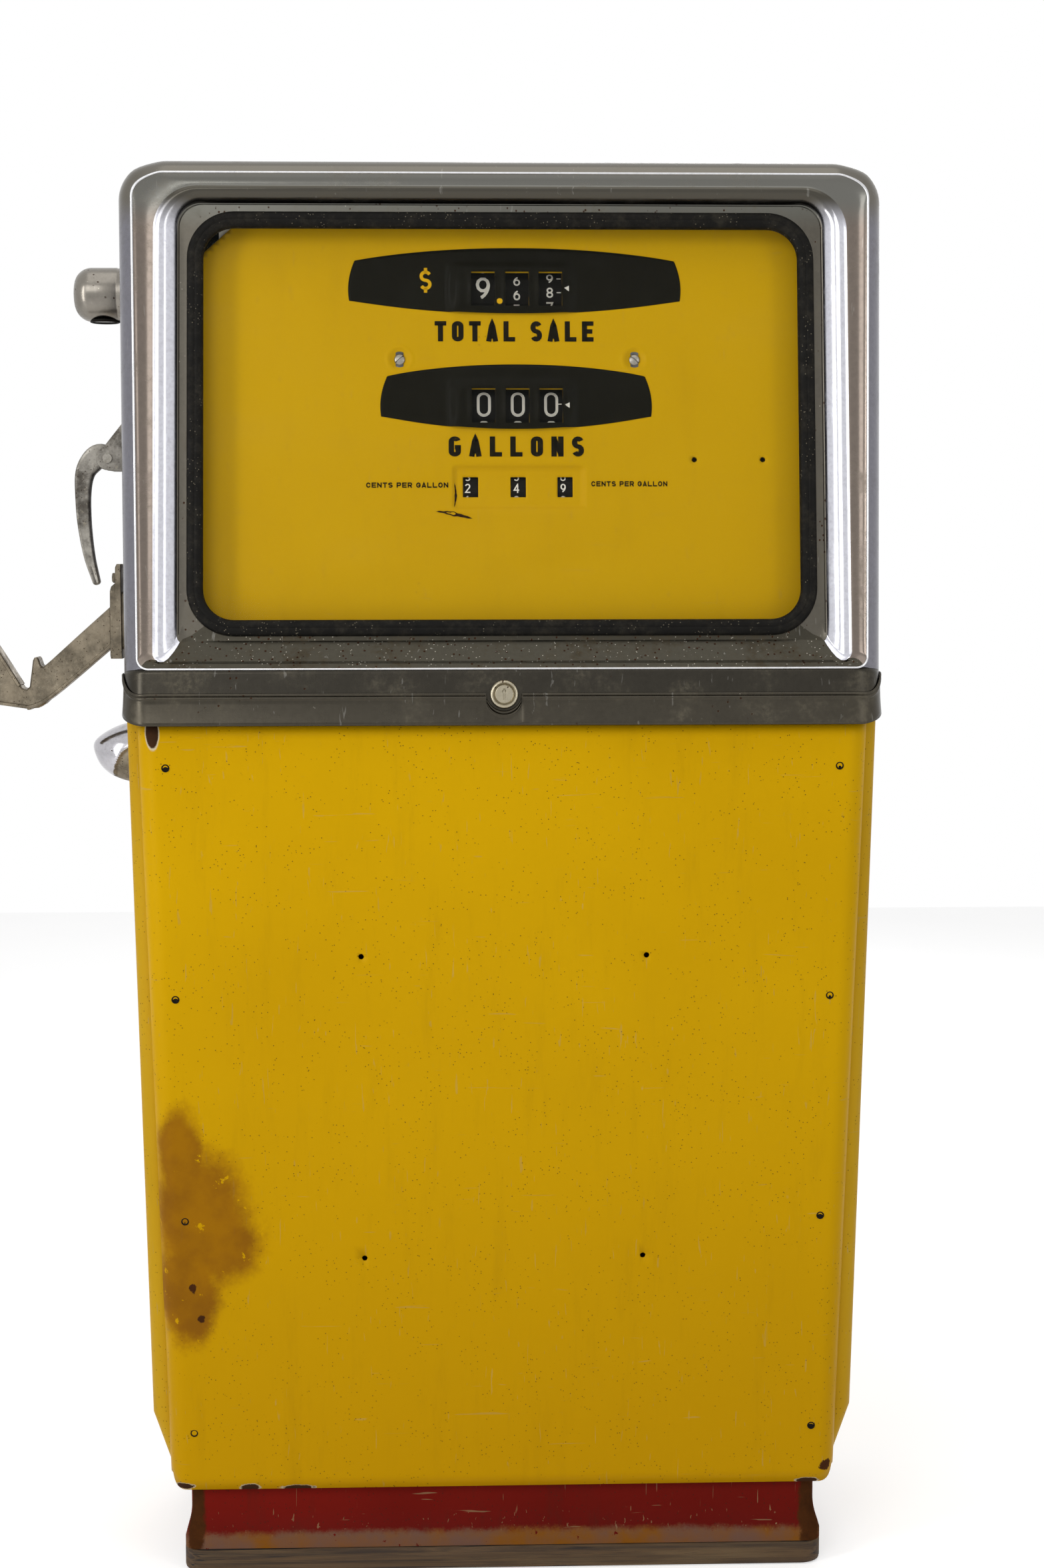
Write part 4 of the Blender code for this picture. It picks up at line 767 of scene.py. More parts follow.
FINISHES = {
    "panel": Enamel("panel_yellow", YELLOW, YELLOW_LOW, fade=(0.1, 0.85), grime_share=0.10, scratch=0.22,
                    stained=(Patch(on_panel(-0.340, 0.470), (0.024, 0.08, 0.050), 0.35, 34, 0.30),
                             Patch(on_panel(-0.322, 0.400), (0.052, 0.08, 0.072), 0.35, 30, 0.34),
                             Patch(on_panel(-0.308, 0.372), (0.050, 0.08, 0.044), 0.40, 34, 0.36),
                             Patch(on_panel(-0.337, 0.318), (0.034, 0.08, 0.058), 0.35, 34, 0.28)),
                    rusted=(Patch(on_panel(-0.330, 0.322), (0.0035, 0.05, 0.005), 0.9, 200),
                            Patch(on_panel(-0.322, 0.288), (0.0040, 0.05, 0.004), 0.9, 200),
                            Patch(on_panel(0.350, 0.110), (0.006, 0.05, 0.006), 0.9, 90)),
                    chipped=(Patch(on_panel(-0.3560, 0.9180), (0.0066, 0.04, 0.0165), 0.10, 90),
                             Patch(on_panel(-0.274, 0.0935), (0.0100, 0.03, 0.0040), 0.45, 90),
                             Patch(on_panel(-0.223, 0.0930), (0.0170, 0.03, 0.0030), 0.45, 90),
                             Patch(on_panel(-0.345, 0.0960), (0.0100, 0.03, 0.0030), 0.6, 90),
                             Patch(on_panel(0.330, 0.0935), (0.0110, 0.03, 0.0030), 0.5, 90))),
    # the side yellow is the panel yellow made darker and tan: a painted shade for the sides turned from the
    # light
    "side": Enamel("side_yellow", srgb(206, 162, 30), srgb(182, 136, 10), grime_share=0.15, rough=0.4,
                   chipped=(Patch((0.383, -0.205, 0.30), (0.03, 0.008, 0.02), 0.5, 60),)),
    "red": Enamel("base_red", srgb(124, 24, 16), srgb(78, 15, 10), grime=srgb(56, 34, 24), grime_share=0.45,
                  rough=0.55, fade=(0.01, 0.09), speck_share=0.7,
                  stain=srgb(112, 84, 70),
                  stained=(Patch((0.0, 0.0, 0.030), (0.80, 0.40, 0.0135), 0.35, 60, 0.25),),
                  rusted=(Patch((-0.334, -0.147, 0.06), (0.010, 0.02, 0.06), 0.5, 60, 0.2),
                          Patch((0.334, -0.147, 0.06), (0.012, 0.02, 0.06), 0.5, 60, 0.2))),
    "dial": Enamel("dial_yellow", srgb(209, 164, 0), srgb(196, 150, 0), grime_share=0.06, scratch=0.08,
                   speck_share=0.30, rough=0.30),
    # ridge, bead, cove and band are lit and shaded copies of the frame's one stainless steel: the bright
    # ridge and bead are a painted highlight, the cove's brown-grey a painted reflection over dust, the band's
    # dark grey painted shade of its deep recess as well as dust; each top colour is the painted shade and
    # light of the top run
    "ridge": Steel("ridge_steel", srgb(206, 206, 214), dusty=0.06, rough=0.15, pitted=0.25,
                   top=srgb(76, 73, 66)),
    "cove": Steel("cove_steel", srgb(118, 108, 100), dusty=0.20, rough=0.20, pitted=0.3,
                  top=srgb(108, 107, 102)),
    "flank": Steel("flank_steel", srgb(122, 121, 128), dusty=0.12, rough=0.24, pitted=0.15,
                   top=srgb(106, 102, 94)),
    "band": Steel("band_steel", srgb(90, 86, 78), dusty=0.35, rough=0.30, pitted=0.5, top=srgb(100, 100, 94)),
    "sill": Steel("sill_steel", srgb(64, 61, 53), dust=srgb(78, 68, 52), dusty=0.6, rough=0.30, pitted=0.8),
    "apron": Steel("apron_steel", srgb(58, 55, 49), dusty=0.35, rough=0.26, pitted=0.4, grain=(700, 30, 30)),
    "bead": Steel("bead_steel", srgb(214, 214, 216), dusty=0.08, rough=0.14, pitted=0.2),
    "skirt": Steel("skirt_steel", srgb(68, 64, 56), dusty=0.35, rough=0.27, pitted=0.4, grain=(30, 30, 900)),
    "hood": Steel("hood_steel", srgb(122, 121, 124), dusty=0.12, rough=0.26, pitted=0.2),
    "lock": Steel("lock_steel", srgb(168, 160, 140), dusty=0.35, rough=0.22, pitted=0.6),
    "screw": Steel("screw_steel", srgb(150, 146, 138), dusty=0.35, rough=0.28, pitted=0.3),
    "boot": Steel("boot_steel", srgb(188, 186, 190), dusty=0.25, rough=0.14, pitted=0.5),
    "outlet": Steel("outlet_steel", srgb(132, 127, 119), dusty=0.45, rough=0.26, pitted=0.5,
                    grain=(700, 30, 30)),
    "cast": Casting("hanger_casting", srgb(136, 126, 109), srgb(94, 87, 75)),
    "bracket": Casting("bracket_casting", srgb(150, 146, 138), srgb(78, 74, 68), size=300, bumps=0.35),
    "frame": Casting("frame_steel", srgb(96, 98, 100), srgb(60, 52, 46), rough=0.55, bumps=0.2),
    "iron": Casting("pump_iron", srgb(84, 92, 86), srgb(42, 44, 42), metal=0.4, rough=0.5, bumps=0.5),
    "motor": Casting("motor_green", srgb(70, 92, 82), srgb(38, 48, 42), metal=0.1, rough=0.45, bumps=0.3),
    "alloy": Casting("register_alloy", srgb(168, 168, 166), srgb(112, 108, 100), rough=0.38, bumps=0.3),
    "brass": Casting("pipe_brass", srgb(168, 140, 84), srgb(92, 74, 44), srgb(204, 186, 140), rough=0.32,
                     bumps=0.15),
    "drum": Ink("drum_black", srgb(28, 26, 23), srgb(70, 64, 56), rough=0.42),
    "sweep": Ink("sweep_black", srgb(22, 20, 12), srgb(52, 45, 26), rough=0.16, wear=0.15),
    "ink": Ink("black_ink", srgb(26, 22, 12), srgb(92, 74, 20), rough=0.4, wear=0.35),
    "tear": Ink("torn_edge", srgb(44, 26, 12), srgb(96, 60, 24), rough=0.7, wear=0.6),
    "white": Ink("white_ink", srgb(232, 228, 214), srgb(176, 170, 152), rough=0.45),
    "cream": Ink("yellow_ink", srgb(222, 172, 20), srgb(180, 134, 20), rough=0.4),
    "lamp": Ink("lamp_glass", srgb(226, 228, 224), srgb(190, 188, 178), rough=0.2),
    "rubber": Rubber("gasket_rubber", srgb(22, 21, 19)),
    "belt": Rubber("belt_rubber", srgb(26, 25, 24)),
    "wood": Board("board_timber"),
    "pane": Pane("window_glass"),
}
MADE: dict[str, bpy.types.Material] = {}


def finish_of(name: str) -> bpy.types.Material:
    """The material of a finish, made once."""
    if name not in MADE:
        MADE[name] = FINISHES[name].make()
    return MADE[name]


def fit(obj: bpy.types.Object, body: str, replaces: Iterable[str] = ()) -> bpy.types.Object:
    """Puts a finished piece on its body and the CAD nodes that it stands for."""
    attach(obj, body)
    if replaces:
        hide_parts(*replaces)
    LOG.info("%s rides on %s: %d faces", obj.name, body, len(obj.data.polygons))
    return obj


# Cabinet ---------------------------------------------------------------------------------

@dataclass
class Punched:
    """A flat sheet's grid lines and kept quads, with square windows and round holes.

    Grid lines follow every hole's edges. A round hole leaves out four quads, and the eight
    points round them are pulled onto its circle.
    """
    across: Array
    up: Array
    windows: tuple[tuple[float, float, float, float], ...] = ()
    holes: tuple[tuple[float, float, float], ...] = ()

    def lines(self, base: Array, edges: Iterable[float]) -> Array:
        """The even lines, less those beside an edge line, and the edge lines."""
        edges = np.unique(np.round(list(edges), 6))
        if not len(edges):
            return base
        near = np.abs(base[:, None] - edges).min(1)
        return np.unique(np.concatenate([base[(near > 0.0009) | (base == base[0]) | (base == base[-1])],
                                         edges]))

    def grid(self) -> tuple[Array, Array, Array]:
        """Points u and v, and which quads to keep."""
        u = self.lines(self.across, [x for a, b, _, _ in self.windows for x in (a, b)]
                       + [x for a, _, r in self.holes for x in (a - r, a, a + r)])
        v = self.lines(self.up, [x for _, _, a, b in self.windows for x in (a, b)]
                       + [x for _, a, r in self.holes for x in (a - r, a, a + r)])
        grid_u, grid_v = np.meshgrid(u, v, indexing="ij")
        keep = np.ones((len(u) - 1, len(v) - 1), bool)
        middle_u, middle_v = (u[:-1] + u[1:])[:, None] / 2, (v[:-1] + v[1:])[None] / 2
        for a, b, c, d in self.windows:
            keep &= ~((middle_u > a) & (middle_u < b) & (middle_v > c) & (middle_v < d))
        for a, b, r in self.holes:
            keep &= ~((abs(middle_u - a) < r) & (abs(middle_v - b) < r))
            beside = (abs(grid_u - a) < r * 1.01) & (abs(grid_v - b) < r * 1.01)
            away = np.hypot(grid_u - a, grid_v - b) + 1e-9
            grid_u = np.where(beside, a + (grid_u - a) * r / away, grid_u)
            grid_v = np.where(beside, b + (grid_v - b) * r / away, grid_v)
        return grid_u, grid_v, keep


def front_plan(out: float = 0.0, steps: int = 14,
               middle: Array = np.linspace(-1, 1, 41)) -> tuple[Array, Array]:
    """(u, w) along a door's plan: flank, edge arc of radius EDGE, flat front, arc, flank."""
    flat = HALF_WIDTH - EDGE
    left = arc(-flat, -EDGE, EDGE + out, EDGE + out, 180, 90, steps)
    flank = np.stack([np.full(6, -HALF_WIDTH - out), np.linspace(-DOOR_DEPTH, -EDGE, 7)[:-1]], -1)
    half = np.concatenate([flank, left])
    straight = np.stack([flat * middle[1:-1], np.full(len(middle) - 2, out)], -1)
    path = np.concatenate([half, straight, (half * [-1, 1])[::-1]])
    return path[:, 0], path[:, 1]


def door_foot(w: Array) -> Array:
    """The door's lower edge rises towards the rear: 0.55 to EDGE, then 0.12."""
    back = np.maximum(0.0, -np.asarray(w))
    return 0.55 * np.minimum(back, EDGE) + 0.12 * np.maximum(back - EDGE, 0.0)


@dataclass
class DoorFrame:
    """The pressed bezel with its rim bead, and the skirt band that crosses its foot."""
    facing: Facing
    crease_foot: float = 0.0575
    sill_rise: float = 1.525
    sections: tuple[tuple[float, float, float, float, float, int], ...] = (
        (0.3700, 0.5665, 0.025, 0.012, -0.0030, 0), (0.3685, 0.5650, 0.027, 0.012, -0.0046, 1),
        (0.3650, 0.5615, 0.032, 0.011, -0.0068, 1), (0.3600, 0.5575, 0.038, 0.010, -0.0078, 1),
        (0.3550, 0.5540, 0.044, 0.010, -0.0074, 1), (0.3528, 0.5525, 0.044, 0.010, -0.0066, 2),
        (0.3500, 0.5508, 0.042, 0.010, -0.0062, 2), (0.3465, 0.5490, 0.040, 0.009, -0.0066, 2),
        (0.3425, 0.5462, 0.036, 0.009, -0.0084, 2), (0.3380, 0.5432, 0.031, 0.008, -0.0118, 2),
        (0.3340, 0.5405, 0.027, 0.008, -0.0158, 2), (0.3318, 0.5390, 0.024, 0.008, -0.0186, 2),
        (0.3306, 0.5384, 0.024, 0.008, -0.0190, 3), (0.3298, 0.5378, 0.024, 0.010, -0.0202, 3),
        (0.3270, 0.5350, 0.034, 0.026, -0.0204, 3), (0.3225, 0.5310, 0.0485, 0.047, -0.0206, 3),
        (0.3160, 0.5245, 0.042, 0.042, -0.0206, 3))

    def ring(self, half: float, low: float, high: float, top: float, foot: float, w: float,
             w_foot: Optional[float] = None) -> Array:
        """One closed row: w goes over to w_foot round the two lower corners."""
        u, v = rounded(half, low, high, top, foot).T
        w_foot = w if w_foot is None else w_foot
        depth = w + (w_foot - w) * (1.0 - smooth(low, low + foot, v))
        return np.stack([u, v, np.broadcast_to(depth, u.shape)], -1)

    def rows(self) -> tuple[Array, list[int]]:
        """All rows from the flank's rear edge to the gasket, and each strip's finish."""
        inner, corner = FACE_TOP - EDGE, 0.042
        found = [self.ring(HALF_WIDTH, self.crease_foot, FACE_TOP, corner, 0.0004, w)
                 for w in (-DOOR_DEPTH, -0.046, -EDGE)]
        slots = [0, 0]
        for degrees in (12, 24, 36, 47, 56):
            out, w = EDGE * math.cos(math.radians(degrees)), EDGE * math.sin(math.radians(degrees)) - EDGE
            found.append(self.ring(HALF_WIDTH - EDGE + out, self.crease_foot, inner + out,
                                   0.028 + 0.014 * out / EDGE,
                                   0.0004, w))
            slots.append(0)
        for half, high, top, foot, w, slot in self.sections:
            deep = max(0.0, -w - 0.0030) * 0.0206 / 0.0176 if not (half == 0.37) else 0.0
            low = self.crease_foot + deep * self.sill_rise
            if half < 0.3280:
                low = WINDOW_LOW - (half - WINDOW_HALF)
            found.append(self.ring(half, low, high, top, foot, w, -deep))
            slots.append(slot)
        return np.array(found), slots

    def world(self, points: Array) -> Array:
        """Flares and places points given as (u, v, w), no wider than the solid door."""
        u, v, w = np.moveaxis(points, -1, 0)
        outer = smooth(0.353, 0.372, np.abs(u))
        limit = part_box("front_bezel")[1][0] - WALL_SLACK
        return place(np.clip(u + (flared(u, v) - u) * outer, -limit, limit), v, w, self.facing)

    def build(self, body: str, nodes: Sequence[str]) -> list[bpy.types.Object]:
        """Frame and apron as one piece, the rim bead as a second, the skirt band as a third.

        Args:
            body: the body that all three ride on.
            nodes: the CAD nodes that they stand for, the frame's first.
        Returns:
            The three pieces.
        """
        prefix = self.facing.name.lower()
        shell, out = Surfaces(), place(0, 0, 1, self.facing) - place(0, 0, 0, self.facing)
        rows, slots = self.rows()
        crease = rows[8]
        below = (crease[:, 1] - self.crease_foot) < (0.370 - np.abs(crease[:, 0]))
        foot = below & np.roll(below, -1)
        for index, slot in enumerate(slots[:len(rows) - 1]):
            strip = self.world(rows[index:index + 2])
            sill = foot & (index >= 8)
            shell.grid(strip, wrap_columns=True, keep=~sill[None], slot=slot, out=out)
            shell.grid(strip, wrap_columns=True, keep=sill[None], slot=4, out=out)
        u, w = front_plan()
        rise = np.linspace(0, 1, 13)[:, None]
        v = door_foot(w) + (self.crease_foot - door_foot(w)) * rise
        shell.grid(place(u, v, w, self.facing), slot=5, out=out)
        names = ("flank", "cove", "ridge", "band", "sill", "apron")
        frame_piece = shell.build(f"{prefix}_door_frame", [finish_of(name) for name in names], closed=False,
                                  angle=28, wall=SHEET)
        bead = self._rim_bead(crease)
        pieces = [fit(frame_piece, body, [nodes[0]]), fit(bead, body)]
        pieces.append(fit(self._skirt(prefix), body, nodes[1:]))
        return pieces

    def _rim_bead(self, crease: Array, radius: float = 0.0011) -> bpy.types.Object:
        """A thin round bead along the crease: p + r (n cos t + w sin t)."""
        flat = crease[:, :2]
        run = np.roll(flat, -1, 0) - np.roll(flat, 1, 0)
        run /= np.linalg.norm(run, axis=1, keepdims=True) + 1e-12
        t = np.linspace(0, 2 * math.pi, 12, endpoint=False)[:, None, None]
        section = np.concatenate([flat + radius * np.cos(t) * np.stack([run[:, 1], -run[:, 0]], -1),
                                  np.broadcast_to(crease[:, 2:] + radius * np.sin(t), (12, len(flat), 1))],
                                 -1)
        tube = Surfaces().grid(self.world(section), wrap_rows=True, wrap_columns=True)
        return tube.build(f"{self.facing.name.lower()}_rim_bead", [finish_of("bead")])

    def _skirt(self, prefix: str) -> bpy.types.Object:
        """A band round the foot with a double bead on its upper edge, dipping under the lock.

        Bulge over the height: 0.0012 at the foot, two humps of 0.0016 near the top; the rear
        band bulges less, because no lock stands out there and it ends with the solid.
        """
        dip = 0.0182
        near = np.sin(np.linspace(-math.pi / 2, math.pi / 2, 31)) * dip
        flat = HALF_WIDTH - EDGE
        middle = np.concatenate([np.linspace(-1, -0.06, 24), near / flat, np.linspace(0.06, 1, 24)])
        u, w = front_plan(0.0010, 14, middle)
        foot = door_foot(w)
        top = 0.0330 + 0.024 * smooth(0.0, EDGE, -w)
        if self.facing is Facing.FRONT:
            under = np.abs(u) < dip
            top = np.where(under, LOCK_V - np.sqrt(np.maximum(dip ** 2 - u ** 2, 0.0)) + 0.0018, top)
        drop = np.array([0, .0004, .0012, .0020, .0028, .0034, .0042, .0050, .0058, .0064, .0072, .0080])
        hump = np.array([0, .0010, .0016, .0016, .0010, .0004, .0010, .0015, .0015, .0010, .0003, 0.0])
        share = np.linspace(0, 1, 8)[1:, None]
        upper = top - drop[:, None]
        lower = upper[-1] + (foot - upper[-1]) * share
        v = np.concatenate([upper, lower])
        relief = 1.0 if self.facing is Facing.FRONT else 0.45
        bulge = relief * np.concatenate([hump, 0.0012 * share[:, 0] ** 2])[:, None]
        outward = np.stack([np.sign(u) * smooth(flat, HALF_WIDTH, np.abs(u)),
                            1 - smooth(flat, HALF_WIDTH, np.abs(u))])
        points = place(u + outward[0] * bulge, v, w + outward[1] * bulge, self.facing)
        out = place(0, 0, 1, self.facing) - place(0, 0, 0, self.facing)
        band = Surfaces().grid(points, out=out)
        return band.build(f"{prefix}_skirt", [finish_of("skirt")], closed=False, angle=60, wall=0.0009)


LOCK_V = 0.0312


@dataclass
class Window:
    """The rubber gasket round the glass."""
    body: str = "front_door"

    def build(self) -> None:
        """A closed rubber section carried round the opening, with a fine groove in its back."""
        offset = np.array([.0083, .0082, .0072, .0052, .0028, .0008, .0000, -.0008, -.0030, -.0055, -.0074,
                           -.0083,
                           -.0083, .0083])
        height = np.array([-.0212, -.0186, -.0168, -.0158, -.0154, -.0155, -.0160, -.0155, -.0157, -.0166,
                           -.0180,
                           -.0202, -.0236, -.0236])
        rings = []
        for o, w in zip(offset, height):
            ring = rounded(WINDOW_HALF + o, WINDOW_LOW - o, WINDOW_HIGH + o, WINDOW_CORNER + o,
                           WINDOW_CORNER + o)
            rings.append(place(ring[:, 0], ring[:, 1], w))
        seal = Surfaces().grid(np.array(rings), wrap_rows=True, wrap_columns=True)
        fit(seal.build("window_gasket", [finish_of("rubber")], angle=50), self.body,
            ["glass_gasket"])


@dataclass
class Lock:
    """The key lock: a rolled ring and a turning plug with its keyway."""
    ring: float = 0.0145
    plug: float = 0.0102
    front: float = 0.0037

    def build(self) -> None:
        """Ring and plug, turned about the lock's axis."""
        centre, axis = place(0, LOCK_V, 0), place(0, 0, 1) - place(0, 0, 0)
        f, r = self.front, self.ring
        profile = [(r - .0012, -.002), (r, .0), (r, f), (r - .0004, f + .0018), (r - .0016, f + .0030),
                   (r - .0028, f + .0032), (r - .0038, f + .0022), (r - .0041, f + .0006),
                   (r - .0041, f - .004)]
        surface = Surfaces().grid(lathe(profile, centre, axis, 64), wrap_columns=True, out=axis)
        ring = surface.build("lock_ring", [finish_of("lock")], closed=False, angle=50, wall=0.0008)
        fit(ring, "front_door", ["lock_body"])
        radius, angle = np.meshgrid(np.linspace(0.0002, 1, 44) * self.plug,
                                    np.linspace(0, 2 * math.pi, 120, False),
                                    indexing="ij")
        u, v = radius * np.cos(angle), radius * np.sin(angle)
        slot = (1 - smooth(.0007, .0010, abs(u))) * (1 - smooth(.0052, .0056, abs(v)))
        wide = 1 - smooth(.0016, .0020, np.hypot(u, v - .0024))
        w = f + .0012 - .0035 * np.maximum(slot, wide) - .0008 * smooth(.85, 1, radius / self.plug)
        disc = place(u, LOCK_V + v, w)
        side = place(np.stack([u[-1], u[-1]]), LOCK_V + np.stack([v[-1], v[-1]]),
                     np.stack([w[-1], np.full(w.shape[1], -.028)]))
        plug = Surfaces().grid(disc, wrap_columns=True, out=axis).grid(side, wrap_columns=True)
        plug.cap(disc[0]).cap(side[-1])
        fit(plug.build("lock_plug_face", [finish_of("lock")], angle=50), "lock", ["lock_plug"])


@dataclass
class Hood:
    """The upper cabinet's top and sides in one sheet between the two doors."""

    def build(self) -> None:
        """The door's outline carried from the front door's rear edge to the rear one's."""
        corner, depth = 0.042, -(DOOR_DEPTH + 0.0004)
        outline = rounded(HALF_WIDTH, 0.0, FACE_TOP, corner, 0.0005, 12, 40)
        u, v = outline[(outline[:, 1] > 0.001)].T
        order = np.argsort(np.unwrap(np.arctan2(v - 0.2, u)))
        u, v = u[order], v[order]
        cut = np.flatnonzero(np.diff(np.arctan2(v - 0.2, u)) < -3)
        if len(cut):
            u, v = np.roll(u, -cut[0] - 1), np.roll(v, -cut[0] - 1)
        start = np.argmin(np.where(u > 0, v, 9))
        u, v = np.roll(u, -start), np.roll(v, -start)
        edge = place(flared(u, v), v, depth)
        edge[:, 2] = np.maximum(edge[:, 2], 0.9353)
        share = np.linspace(0, 1, 26)[:, None, None]
        rear = edge * [1, -1, 1]
        sheet = edge + (rear - edge) * share
        sheet[..., 2] -= 0.0006 * np.sin(np.pi * share[..., 0]) * smooth(1.3, 1.5, sheet[..., 2])
        surface = Surfaces().grid(sheet, slot=0)
        hood = surface.build("upper_hood", [finish_of("hood")], closed=False, angle=50)
        self._face_out(hood)
        wall = hood.modifiers.new("wall", "SOLIDIFY")
        wall.thickness, wall.offset = SHEET, -1
        fit(hood, "cabinet", ["hood"])

    def _face_out(self, obj: bpy.types.Object) -> None:
        """Turns the sheet's faces away from the cabinet's middle line."""
        work = bmesh.new()
        work.from_mesh(obj.data)
        total = sum(face.normal.dot(face.calc_center_median() - Vector((0, 0, 1.1))) for face in work.faces)
        if total < 0:
            bmesh.ops.reverse_faces(work, faces=work.faces)
        work.to_mesh(obj.data)
        work.free()


@dataclass
class LowerPanel:
    """A yellow panel with rounded upright edges, screw holes and clipped lower corners."""
    facing: Facing
    top: float = 0.924
    bottom: float = 0.092
    radius: float = 0.022
    flange: float = 0.023
    corner: float = 0.016
    edge_holes: tuple[float, ...] = (0.8815, 0.639, 0.3972, 0.1574)

    def half(self, z: Array) -> Array:
        """Half the panel's width at a height."""
        return 0.361 + 0.012 * (z - self.bottom) / (self.top - self.bottom)

    def build(self) -> None:
        """Path across: flange, arc, front, arc, flange; every height scales its flat part."""
        scale = 0.367 - self.radius
        holes = [(side * (self.half(z) - 0.007 - self.radius) / (self.half(z) - self.radius) * scale, z)
                 for z in self.edge_holes for side in (-1, 1)]
        inner = [(side * 0.1477 / (self.half(z) - self.radius) * scale,
                  z) for z in (0.6835, 0.3545) for side in (-1, 1)]
        arc_length = self.radius * math.pi / 2
        spots = [(x, z, 0.0030) for x, z in (inner if self.facing is Facing.FRONT else [])]
        width = scale + arc_length + self.flange - self.radius
        across = np.unique(np.round(np.concatenate([np.linspace(-scale, scale, 61),
                                                    np.linspace(scale, scale + arc_length, 13),
                                                    -np.linspace(scale, scale + arc_length, 13),
                                                    [width, -width]]), 6))
        s, z, keep = Punched(across, np.linspace(self.bottom, self.top, 61), (), tuple(spots)).grid()
        outer = np.maximum(0.0, np.abs(s) - scale)
        angle = np.minimum(outer / self.radius, math.pi / 2)
        lift = self.corner - np.sqrt(np.maximum(self.corner ** 2 - np.clip(np.abs(s) - width + 0.03, 0,
                                                                           self.corner) ** 2, 0))
        z = np.where(z < self.bottom + 0.05, z + lift * (self.bottom + 0.05 - z) / 0.05, z)
        flat = self.half(z) - self.radius
        x = np.sign(s) * (np.minimum(np.abs(s), scale) / scale * flat + self.radius * np.sin(angle))
        y = PANEL_FRONT_Y + (SKIRT_BOTTOM - z) * PANEL_SLOPE + self.radius * (1 - np.cos(angle))
        y = y + np.maximum(0.0, outer - arc_length)
        y -= 0.0006 * np.sin(4 * x + 3) * np.sin(6 * z) * (1 - smooth(0.3, 0.36, np.abs(x)))
        sign = self.facing.value
        sheet = Surfaces().grid(np.stack([x * sign, y * sign, z], -1), keep=keep, out=(0, -sign, 0))
        name = self.facing.name.lower() + "_lower_panel"
        node = self.facing.name.lower() + "_panel"
        fit(sheet.build(name, [finish_of("panel")], closed=False, wall=SHEET), "cabinet", [node])
        # dark discs at the edge holes: painted shade standing in for the open holes
        self._screws(holes, scale)

    def _screws(self, spots: Sequence[tuple[float, float]], scale: float) -> None:
        """A sunk dark disc with a rim at each edge hole, its dark face a painted shade standing in for the
        open hole.
        """
        heads, sign = Surfaces(), self.facing.value
        profile = [(.0042, -.0002), (.0040, .0005), (.0034, .0008), (.0029, .0004), (.0026, -.0001),
                   (.0006, .0001)]
        for s, z in spots:
            x = s / scale * (self.half(z) - self.radius) + math.copysign(0.0, s)
            x = math.copysign(min(abs(x), self.half(z) - 0.007), s)
            y = PANEL_FRONT_Y + (SKIRT_BOTTOM - z) * PANEL_SLOPE
            bend = max(0.0, abs(x) - (self.half(z) - self.radius))
            y += self.radius - math.sqrt(self.radius ** 2 - bend ** 2)
            ring = lathe(profile, (x * sign, y * sign, z), (-0.3 * (bend > 0) * np.sign(x) * -sign, -sign, 0),
                         20)
            heads.grid(ring, wrap_columns=True).cap(ring[0]).cap(ring[-1])
        name = self.facing.name.lower() + "_panel_hole_shade_discs"
        fit(heads.build(name, [finish_of("drum")]), "cabinet")


@dataclass
class SidePanel:
    """A side sheet with rounded uprights whose foot tucks in under the panel."""
    side: Side
    top: float = 0.935
    tuck_start: float = 0.168
    bottom: float = 0.100
    radius: float = 0.020
    flange: float = 0.022

    def half(self, z: Array) -> Array:
        """Half the cabinet's width: straight, then a tuck of 20 mm below tuck_start."""
        straight = 0.3815 + 0.005 * (z - self.tuck_start) / (self.top - self.tuck_start)
        return straight - 0.020 * np.clip((self.tuck_start - z) / (self.tuck_start - self.bottom) * 1.05, 0,
                                          1)

    def build(self) -> None:
        """Section at every height: flange, arc, side, arc, flange."""
        z = np.concatenate([np.linspace(self.bottom, self.tuck_start, 9)[:-1],
                            np.linspace(self.tuck_start, self.top, 30)])[:, None]
        front = PANEL_FRONT_Y + (SKIRT_BOTTOM - z) * PANEL_SLOPE + 0.0238
        turn = np.radians(np.linspace(-90, 0, 11))[None]
        half = self.half(z)
        x = half - self.radius + self.radius * np.cos(turn)
        y = front + self.radius + self.radius * np.sin(turn)
        lead = np.linspace(self.flange, 0.002, 4)[None]
        x = np.concatenate([half - self.radius - lead, x], 1)
        y = np.concatenate([np.broadcast_to(front, (len(z), 4)), y], 1)
        share = np.linspace(0, 1, 14)[None, 1:-1]
        flat = np.broadcast_to(half, (len(z), 12)) + 0 * share
        middle = y[:, -1:] * (1 - 2 * share)
        x = np.concatenate([x, flat, x[:, ::-1]], 1)
        y = np.concatenate([y, middle, -y[:, ::-1]], 1)
        points = np.stack([self.side.value * x, y, np.broadcast_to(z, x.shape)], -1)
        name = "side_panel_" + self.side.name.lower()
        sheet = Surfaces().grid(points, out=(self.side.value, 0, 0))
        fit(sheet.build(name + "_sheet", [finish_of("side")], closed=False, wall=SHEET), "cabinet",
            [name])


